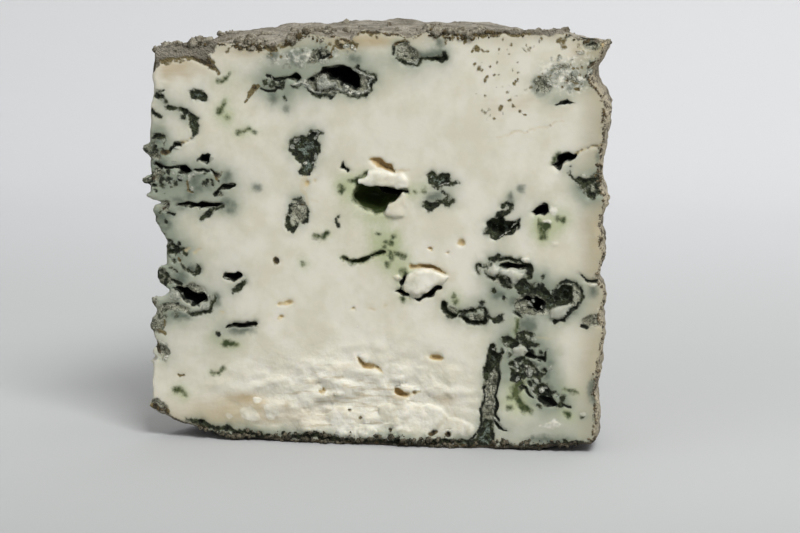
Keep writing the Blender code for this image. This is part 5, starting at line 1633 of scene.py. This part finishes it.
@dataclass(frozen=True)
class Crumbs:
    """Small lumps of crust that grow out of the surface, as one piece."""

    name: str
    slot: str
    finish: CrumbFinish
    number: int
    sizes: tuple[float, float]
    seed: int

    def build(self, surface: Array, wanted: Array) -> bpy.types.Object:
        """Sets lumps on the surface.

        Args:
            surface: Corners of the cheese's surface in its own axes.
            wanted: How much each corner wants a lump.

        Returns:
            The joined lumps.
        """
        draws = np.random.default_rng(self.seed)
        picked = draws.choice(len(surface), self.number, replace=False, p=wanted / wanted.sum())
        pattern = bmesh.new()
        bmesh.ops.create_icosphere(pattern, subdivisions=2, radius=1.0)
        ball = np.array([vert.co for vert in pattern.verts])
        ball_faces = np.array([[vert.index for vert in face.verts] for face in pattern.faces])
        pattern.free()
        places, faces = [], []
        for number, corner in enumerate(picked):
            size = self.sizes[0] + (self.sizes[1] - self.sizes[0]) * draws.random() ** 2.5
            shape = ball * (1.0 + draws.uniform(-0.28, 0.28, (len(ball), 1)))
            shape = shape * draws.uniform(0.6, 1.4, 3) * size
            turned = shape @ np.array(Euler(draws.uniform(0.0, 6.0, 3)).to_matrix())
            places.append(surface[corner] + turned)
            faces.append(ball_faces + number * len(ball))
        stacked = np.concatenate(places)
        stacked[:, 2] = np.maximum(stacked[:, 2], 0.02)
        made = make_mesh(self.name, stacked, np.concatenate(faces))
        made.data.materials.append(self.finish.material())
        return made


GREY_CRUMBS = CrumbFinish("rind_crumbs", (0.09, 0.075, 0.05), (0.30, 0.28, 0.22))
BROWN_CRUMBS = CrumbFinish("brown_crumbs", (0.030, 0.024, 0.012), (0.13, 0.095, 0.045))
DARK_CRUMBS = CrumbFinish("dark_crumbs", (0.016, 0.016, 0.010), (0.15, 0.13, 0.09))
TAN_CRUMBS = CrumbFinish("tan_crumbs", (0.045, 0.035, 0.02), (0.22, 0.18, 0.115))
CRUMB_KINDS = (
    Crumbs("rind_tufts", "rind", GREY_CRUMBS, 520, (0.12, 1.0), 11),
    Crumbs("edge_crumbs", "mould", BROWN_CRUMBS, 300, (0.08, 0.45), 12),
    Crumbs("foot_crumbs", "mould", DARK_CRUMBS, 420, (0.10, 0.6), 13),
    Crumbs("heel_crumbs", "rind", TAN_CRUMBS, 150, (0.08, 0.36), 14),
)


class CheeseBody:
    """The wedge itself: one closed surface with relief, and values that its finish reads."""

    SEED = 4100
    SKIN = 3.0
    DEEPEST = 15.0
    WANTED_TRIANGLES = 196000
    COARSE_LEVELS = 4
    GRAIN = 0.34
    # Keeps the chance of a crumb above nought everywhere
    LEAST_CHANCE = 1e-9

    def __init__(self) -> None:
        """Prepares the form and the unevenness."""
        self.form = WedgeForm()
        self.lumps = Lumps(self.SEED)
        self.faces = (FRONT, BACK)
        self.surface: Array = np.zeros((0, 3))
        self.found: dict[str, Array] = {}

    def ragged(self, places: Array) -> Array:
        """How far outlines wander at places, from -1 to 1."""
        return 0.65 * self.lumps.read(places + 41.0, 2.3) + 0.35 * self.lumps.read(places + 23.0, 1.0)

    def carve(self, places: Array, field: Array) -> Array:
        """Cuts every mark into the bare wedge and joins on its lumps.

        Args:
            places: Where the distances are.
            field: Distances from the bare wedge.

        Returns:
            Distances from the marked wedge.
        """
        wander = self.ragged(places)
        for face in self.faces:
            view = FaceView(face, places, self.lumps)
            for knob in face.knobs:
                reach = max(knob.half_along, knob.half_up)
                box = (knob.along - reach, knob.along + reach, knob.height - reach, knob.height + reach)
                picked = view.near(box, knob.into + knob.half_into, MARGIN)
                swell = wander[picked] * min(0.5, 0.4 * min(knob.half_along, knob.half_up))
                gap = knob.distance(*view.at(picked)) + swell
                field[picked] = smooth_min(field[picked], gap, KNOB_ROUND)
            for raised in (False, True):
                for lining, marks in face.marks.items():
                    if (lining in RAISED) == raised:
                        self._shape(view, marks, raised, wander, field)
        return field

    @staticmethod
    def _shape(view: FaceView, marks: Sequence[Mark], raised: bool, wander: Array, field: Array) -> None:
        """Sinks marks into the field, or raises them out of it.

        Args:
            view: The places as the marks' face sees them.
            marks: The marks; those without a depth are only painted.
            raised: Whether they stand out.
            wander: How far outlines wander.
            field: Distances from the wedge, which are changed.
        """
        for mark in (m for m in marks if m.depth > 0.0):
            picked = view.near(mark.box(), mark.THICK if raised else mark.depth, MARGIN)
            along, height, depth = view.at(picked)
            flat = mark.flat(along, height) + wander[picked] * mark.ragged()
            if raised:
                field[picked] = smooth_min(field[picked], mark.raised(flat, depth), MARK_ROUND)
            else:
                field[picked] = smooth_max(field[picked], -mark.sunk(flat, depth), MARK_ROUND)

    def values(self, places: Array) -> dict[str, Array]:
        """The values that the finish reads.

        Args:
            places: The surface's corners.

        Returns:
            Distances and stains by name.
        """
        sheets = self.form.sheets(places, self.lumps)
        wander = self.ragged(places)
        gaps = {lining: np.full(len(places), FAR, dtype=np.float32) for lining in Lining}
        glows = {glow: np.zeros(len(places), dtype=np.float32) for glow in Glow}
        for face in self.faces:
            view = FaceView(face, places, self.lumps)
            for lining, marks in face.marks.items():
                for mark in marks:
                    self._paint(view, lining, mark, wander, gaps, glows)
            for glow, stains in face.glows.items():
                for stain in stains:
                    self._stain(view, glow, stain, glows)
        _, patch = self.form.flakes(places, self.lumps)
        glows[Glow.FLAKE] = patch * smooth_step(places[:, 1], 4.0, 1.0)
        inner = np.minimum(-sheets["heel"] - 0.05, -sheets["base"])
        found = {"rind": np.clip(np.minimum(inner, -sheets["top"] - 0.1), -1.0, FAR)}
        found["rim"] = np.clip(-sheets["heel"], -1.0, FAR)
        found["roof"] = np.clip(-sheets["top"], -1.0, FAR)
        found["depth"] = np.clip(np.minimum(-sheets["front"], -sheets["second"]), -1.0, 12.0)
        found.update({lining.value: values for lining, values in gaps.items()})
        found.update({glow.value: values for glow, values in glows.items()})
        return found

    @staticmethod
    def _paint(
        view: FaceView, lining: Lining, mark: Mark, wander: Array,
        gaps: dict[Lining, Array], glows: dict[Glow, Array],
    ) -> None:
        """Adds one mark's distance, and the stain round it, to the values.

        Args:
            view: The surface as the mark's face sees it.
            lining: What covers the mark's walls.
            mark: The mark.
            wander: How far outlines wander.
            gaps: Distances by lining, which are changed.
            glows: Stains, which are changed.
        """
        picked = view.near(mark.box(), max(mark.depth, 1.0), 6.0)
        along, height, depth = view.at(picked)
        beyond = np.maximum(depth - max(mark.depth, 0.5), 0.0)
        gap = mark.flat(along, height) + wander[picked] * mark.ragged() + beyond
        gaps[lining][picked] = np.minimum(gaps[lining][picked], gap)
        if lining in STAINS:
            glow, reach, strength = STAINS[lining]
            added = strength * np.exp(-np.maximum(gap, 0.0) / reach)
            glows[glow][picked] = 1.0 - (1.0 - glows[glow][picked]) * (1.0 - added)

    @staticmethod
    def _stain(view: FaceView, glow: Glow, stain: Stain, glows: dict[Glow, Array]) -> None:
        """Adds one soft stain to the values.

        Args:
            view: The surface as the stain's face sees it.
            glow: Which kind it is.
            stain: Along, height, half length, half height and strength.
            glows: Stains, which are changed.
        """
        along, height, half_along, half_up, strength = stain
        box = (along - 2 * half_along, along + 2 * half_along, height - 2 * half_up, height + 2 * half_up)
        picked = view.near(box, 4.0, 0.0)
        u, v, _ = view.at(picked)
        added = strength * np.exp(-(((u - along) / half_along) ** 2 + ((v - height) / half_up) ** 2))
        glows[glow][picked] = 1.0 - (1.0 - glows[glow][picked]) * (1.0 - added)

    def build(self) -> bpy.types.Object:
        """Makes the surface, its values and its finish.

        Returns:
            The object that stands for the solid.
        """
        lattice = Lattice()
        shape = lattice.shape()
        index = np.indices(shape, dtype=np.float32).reshape(3, -1).T
        places = lattice.place(index)
        rough = self._rough_distance(places)
        near = np.flatnonzero((rough > -self.DEEPEST) & (rough < self.SKIN))
        field = np.where(rough < 0.0, -self.DEEPEST, self.DEEPEST).astype(np.float32)
        shell = places[near]
        bare = rough[near].copy()
        skin = np.flatnonzero(bare > -self.SKIN)
        bare[skin] = self.form.distance(self.form.sheets(shell[skin], self.lumps))
        field[near] = self.carve(shell, bare)
        net = SurfaceNet(field.reshape(shape))
        surface = lattice.place(net.spots)
        log.info("the cheese has %d faces", len(net.faces))
        made = make_mesh("cheese_body", surface, net.faces)
        self.surface = self._thin_out(made, surface)
        self.found = self.values(self.surface)
        self._grain(made)
        for name, column in self.found.items():
            attribute = made.data.attributes.new(name, "FLOAT", "POINT")
            attribute.data.foreach_set("value", column.astype(np.float32))
        made.data.materials.append(CheeseFinish().material())
        return made

    def crumbs(self) -> list[tuple[Crumbs, bpy.types.Object]]:
        """Sets crumbs of crust along the rind's edges, on the top and along the base.

        Returns:
            Each kind of crumb with its object.
        """
        places, found = self.surface, self.found
        front = np.exp(-np.maximum(places[:, 1], 0.0) / 4.0)
        far = np.exp(-np.maximum(places[:, 1], 0.0) / 30.0) * np.exp(-places[:, 0] / 40.0)
        roof = smooth_step(found["roof"], 1.6, 0.5) * smooth_step(places[:, 1], -0.8, 0.0)
        tufted = smooth_step(self.lumps.fractal(places + 19.0, 6.0, 2), 0.05, 0.5)
        tufted *= 1.0 - 0.8 * smooth_step(places[:, 0], 66.0, 78.0)
        lip = np.exp(-(((found["roof"] - 0.9) / 0.5) ** 2)) * smooth_step(found["depth"], 0.6, 0.1)
        foot = smooth_step(places[:, 2], 3.0, 0.9) * smooth_step(found["depth"], 0.8, 0.1)
        heel = np.exp(-(((found["rim"] - 0.5) / 0.4) ** 2)) * smooth_step(found["depth"], 0.6, 0.1)
        chances = (roof * (front + 3.0 * far) * tufted, lip * front * tufted, foot * front, heel * front)
        return [
            (kind, kind.build(places, chance + self.LEAST_CHANCE))
            for kind, chance in zip(CRUMB_KINDS, chances)
        ]

    def _thin_out(self, made: bpy.types.Object, surface: Array) -> Array:
        """Joins small faces where nothing fine is near, down to the number wanted.

        Args:
            made: The object, which gets the thinner mesh.
            surface: Its corners in the wedge's axes.

        Returns:
            The corners that are left.
        """
        values = self.values(surface)
        nearest = np.min([values[lining.value] for lining in Lining], axis=0)
        at_roof = smooth_step(surface[:, 1], 3.0, 0.0) * smooth_step(values["roof"], 3.0, 1.0)
        kept = np.minimum(smooth_step(nearest, 1.6, 0.5) + at_roof, 1.0)
        group = made.vertex_groups.new(name="coarse")
        for level in range(1, self.COARSE_LEVELS + 1):
            picked = np.flatnonzero(np.round((1.0 - kept) * self.COARSE_LEVELS) == level)
            group.add(picked.tolist(), level / self.COARSE_LEVELS, "REPLACE")
        thinner = made.modifiers.new("thinner", "DECIMATE")
        thinner.ratio = self.WANTED_TRIANGLES / sum(len(face.vertices) - 2 for face in made.data.polygons)
        thinner.vertex_group = group.name
        thinner.vertex_group_factor = 1.0
        whole = made.data
        thinned = made.evaluated_get(bpy.context.evaluated_depsgraph_get())
        made.data = bpy.data.meshes.new_from_object(thinned)
        made.modifiers.clear()
        made.vertex_groups.clear()
        bpy.data.meshes.remove(whole)
        made.data.name = made.name
        places = np.empty(len(made.data.vertices) * 3, dtype=np.float32)
        made.data.vertices.foreach_get("co", places)
        return places.reshape(-1, 3) / MM - np.array(TIP_PLACE)

    def _rough_distance(self, places: Array) -> Array:
        """Distance from the wedge before any relief, quick to work out.

        Args:
            places: Where it is read.

        Returns:
            The distance at each.
        """
        out = np.hypot(places[:, 0], places[:, 1])
        _, _, second = BACK.read(places)
        total = np.maximum(-places[:, 1], -second)
        total = np.maximum(total, places[:, 2] - self.form.top(out))
        total = np.maximum(total, self.form.base(out) - places[:, 2])
        return np.maximum(total, out - self.form.wheel_radius)

    def _grain(self, made: bpy.types.Object) -> None:
        """Gives mould and rind their coarse grain by moving the surface along its normals.

        Args:
            made: The object, whose mesh is changed.
        """
        surface, values = self.surface, self.found
        normals = np.empty(len(surface) * 3, dtype=np.float32)
        made.data.vertex_normals.foreach_get("vector", normals)
        normals = normals.reshape(-1, 3)
        crusted = np.maximum(smooth_step(values["mould"], 0.5, -0.1), smooth_step(values["grey"], 0.5, -0.2))
        crusted = np.maximum(crusted, 0.7 * smooth_step(values["rind"], 0.7, 0.2))
        crusted = np.maximum(crusted, 0.6 * smooth_step(values["curd"], 0.3, -0.3))
        resting = smooth_step(surface[:, 2], 0.3, 1.2)
        height = self.GRAIN * self.lumps.fractal(surface + 77.0, 1.5, 2) * crusted * resting
        moved = (surface + np.array(TIP_PLACE) + normals * height[:, None]) * MM
        made.data.vertices.foreach_set("co", moved.astype(np.float32).ravel())
        made.data.update()


class Studio:
    """A pale floor, painted darker towards the front as painted shade, that runs up into a backdrop, soft
    lamps, and the camera.
    """

    AIM = (55.8, 0.0, 39.3)
    AZIMUTH = 10.0
    ELEVATION = 7.5
    DISTANCE = 500.0
    LENS = 104.9
    SENSOR = 36.0
    LAMPS_AIM = (0.0, 0.0, 0.04)
    SKY = 0.40
    # Floor colours from front to back; the darker front and middle are painted shade on one pale cloth.
    FLOOR_FRONT_SHADE: Colour = (0.200, 0.206, 0.202)
    FLOOR_MIDDLE_SHADE: Colour = (0.44, 0.448, 0.446)
    FLOOR_BACK: Colour = (0.645, 0.65, 0.66)

    def build(self) -> None:
        """Adds floor, lamps and camera."""
        self._floor()
        self._lamps()
        self._camera()
        bpy.context.scene.view_settings.view_transform = "Standard"

    def _floor(self) -> None:
        """A floor with a wide curve up to a wall, its colour darker towards the front as painted shade."""
        half_width, front, back, bend, top = 1.6, -1.2, 0.42, 0.35, 1.5
        steps = 24
        outline = [(front, 0.0), (back, 0.0)]
        for step in range(1, steps + 1):
            turn = 0.5 * math.pi * step / steps
            outline.append((back + bend * math.sin(turn), bend * (1.0 - math.cos(turn))))
        outline.append((back + bend, top))
        shape = bmesh.new()
        rows = [[shape.verts.new((x, y, z)) for x in (-half_width, half_width)] for y, z in outline]
        for low, high in zip(rows, rows[1:]):
            shape.faces.new((low[0], low[1], high[1], high[0]))
        mesh = bpy.data.meshes.new("studio_floor")
        shape.to_mesh(mesh)
        shape.free()
        mesh.shade_smooth()
        floor = bpy.data.objects.new("studio_floor", mesh)
        bpy.context.scene.collection.objects.link(floor)
        board = Board("pale_floor_with_painted_shade")
        along = board.wire("ShaderNodeSeparateXYZ", {}, {"Vector": board.object_places}, "Y")
        # Darker towards the front: painted shade.
        near = board.mix(board.share(along, -0.35, -0.02), self.FLOOR_FRONT_SHADE, self.FLOOR_MIDDLE_SHADE)
        colour = board.mix(board.share(along, 0.0, 0.55), near, self.FLOOR_BACK)
        values = {"Base Color": colour, "Roughness": 0.9, "Specular IOR Level": 0.1}
        mesh.materials.append(board.finish(board.wire("ShaderNodeBsdfPrincipled", {}, values, "BSDF")))

    def _lamps(self) -> None:
        """A broad key from the upper right, a fill from the left, and an even sky."""
        lamps = (
            ("key", (0.48, -0.78, 0.98), 0.5, 16.3),
            ("fill", (-0.9, -0.8, 0.5), 1.2, 1.5),
            ("over", (0.2, 0.35, 1.1), 0.9, 4.0),
        )
        for name, place, size, power in lamps:
            lamp = bpy.data.lights.new(name, "AREA")
            lamp.size = size
            lamp.energy = power
            made = bpy.data.objects.new(name, lamp)
            made.location = place
            down = Vector(self.LAMPS_AIM) - Vector(place)
            made.rotation_euler = down.to_track_quat("-Z", "Y").to_euler()
            bpy.context.scene.collection.objects.link(made)
        world = bpy.data.worlds.new("even_sky")
        world.use_nodes = True
        background = world.node_tree.nodes["Background"]
        background.inputs["Color"].default_value = (1.0, 1.0, 1.0, 1.0)
        background.inputs["Strength"].default_value = self.SKY
        bpy.context.scene.world = world

    def _camera(self) -> None:
        """The camera at the photograph's angle."""
        aim = (Vector(self.AIM) + Vector(TIP_PLACE)) * MM
        turn, lift = math.radians(self.AZIMUTH), math.radians(self.ELEVATION)
        away = Vector((math.sin(turn) * math.cos(lift), -math.cos(turn) * math.cos(lift), math.sin(lift)))
        lens = bpy.data.cameras.new("camera")
        lens.lens = self.LENS
        lens.sensor_width = self.SENSOR
        camera = bpy.data.objects.new("camera", lens)
        camera.location = aim + away * self.DISTANCE * MM
        camera.rotation_euler = away.to_track_quat("Z", "Y").to_euler()
        bpy.context.scene.collection.objects.link(camera)
        bpy.context.scene.camera = camera


def main() -> None:
    """Builds the studio and the cheese, and reports each piece."""
    logging.basicConfig(level=logging.INFO, format="%(message)s")
    Studio().build()
    cheese = CheeseBody()
    body = cheese.build()
    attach(body, BODY)
    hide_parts(NODE)
    log.info("built %s", body.name)
    for kind, made in cheese.crumbs():
        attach(made, BODY)
        log.info("built %s", made.name)


if __name__ == "__main__":
    main()
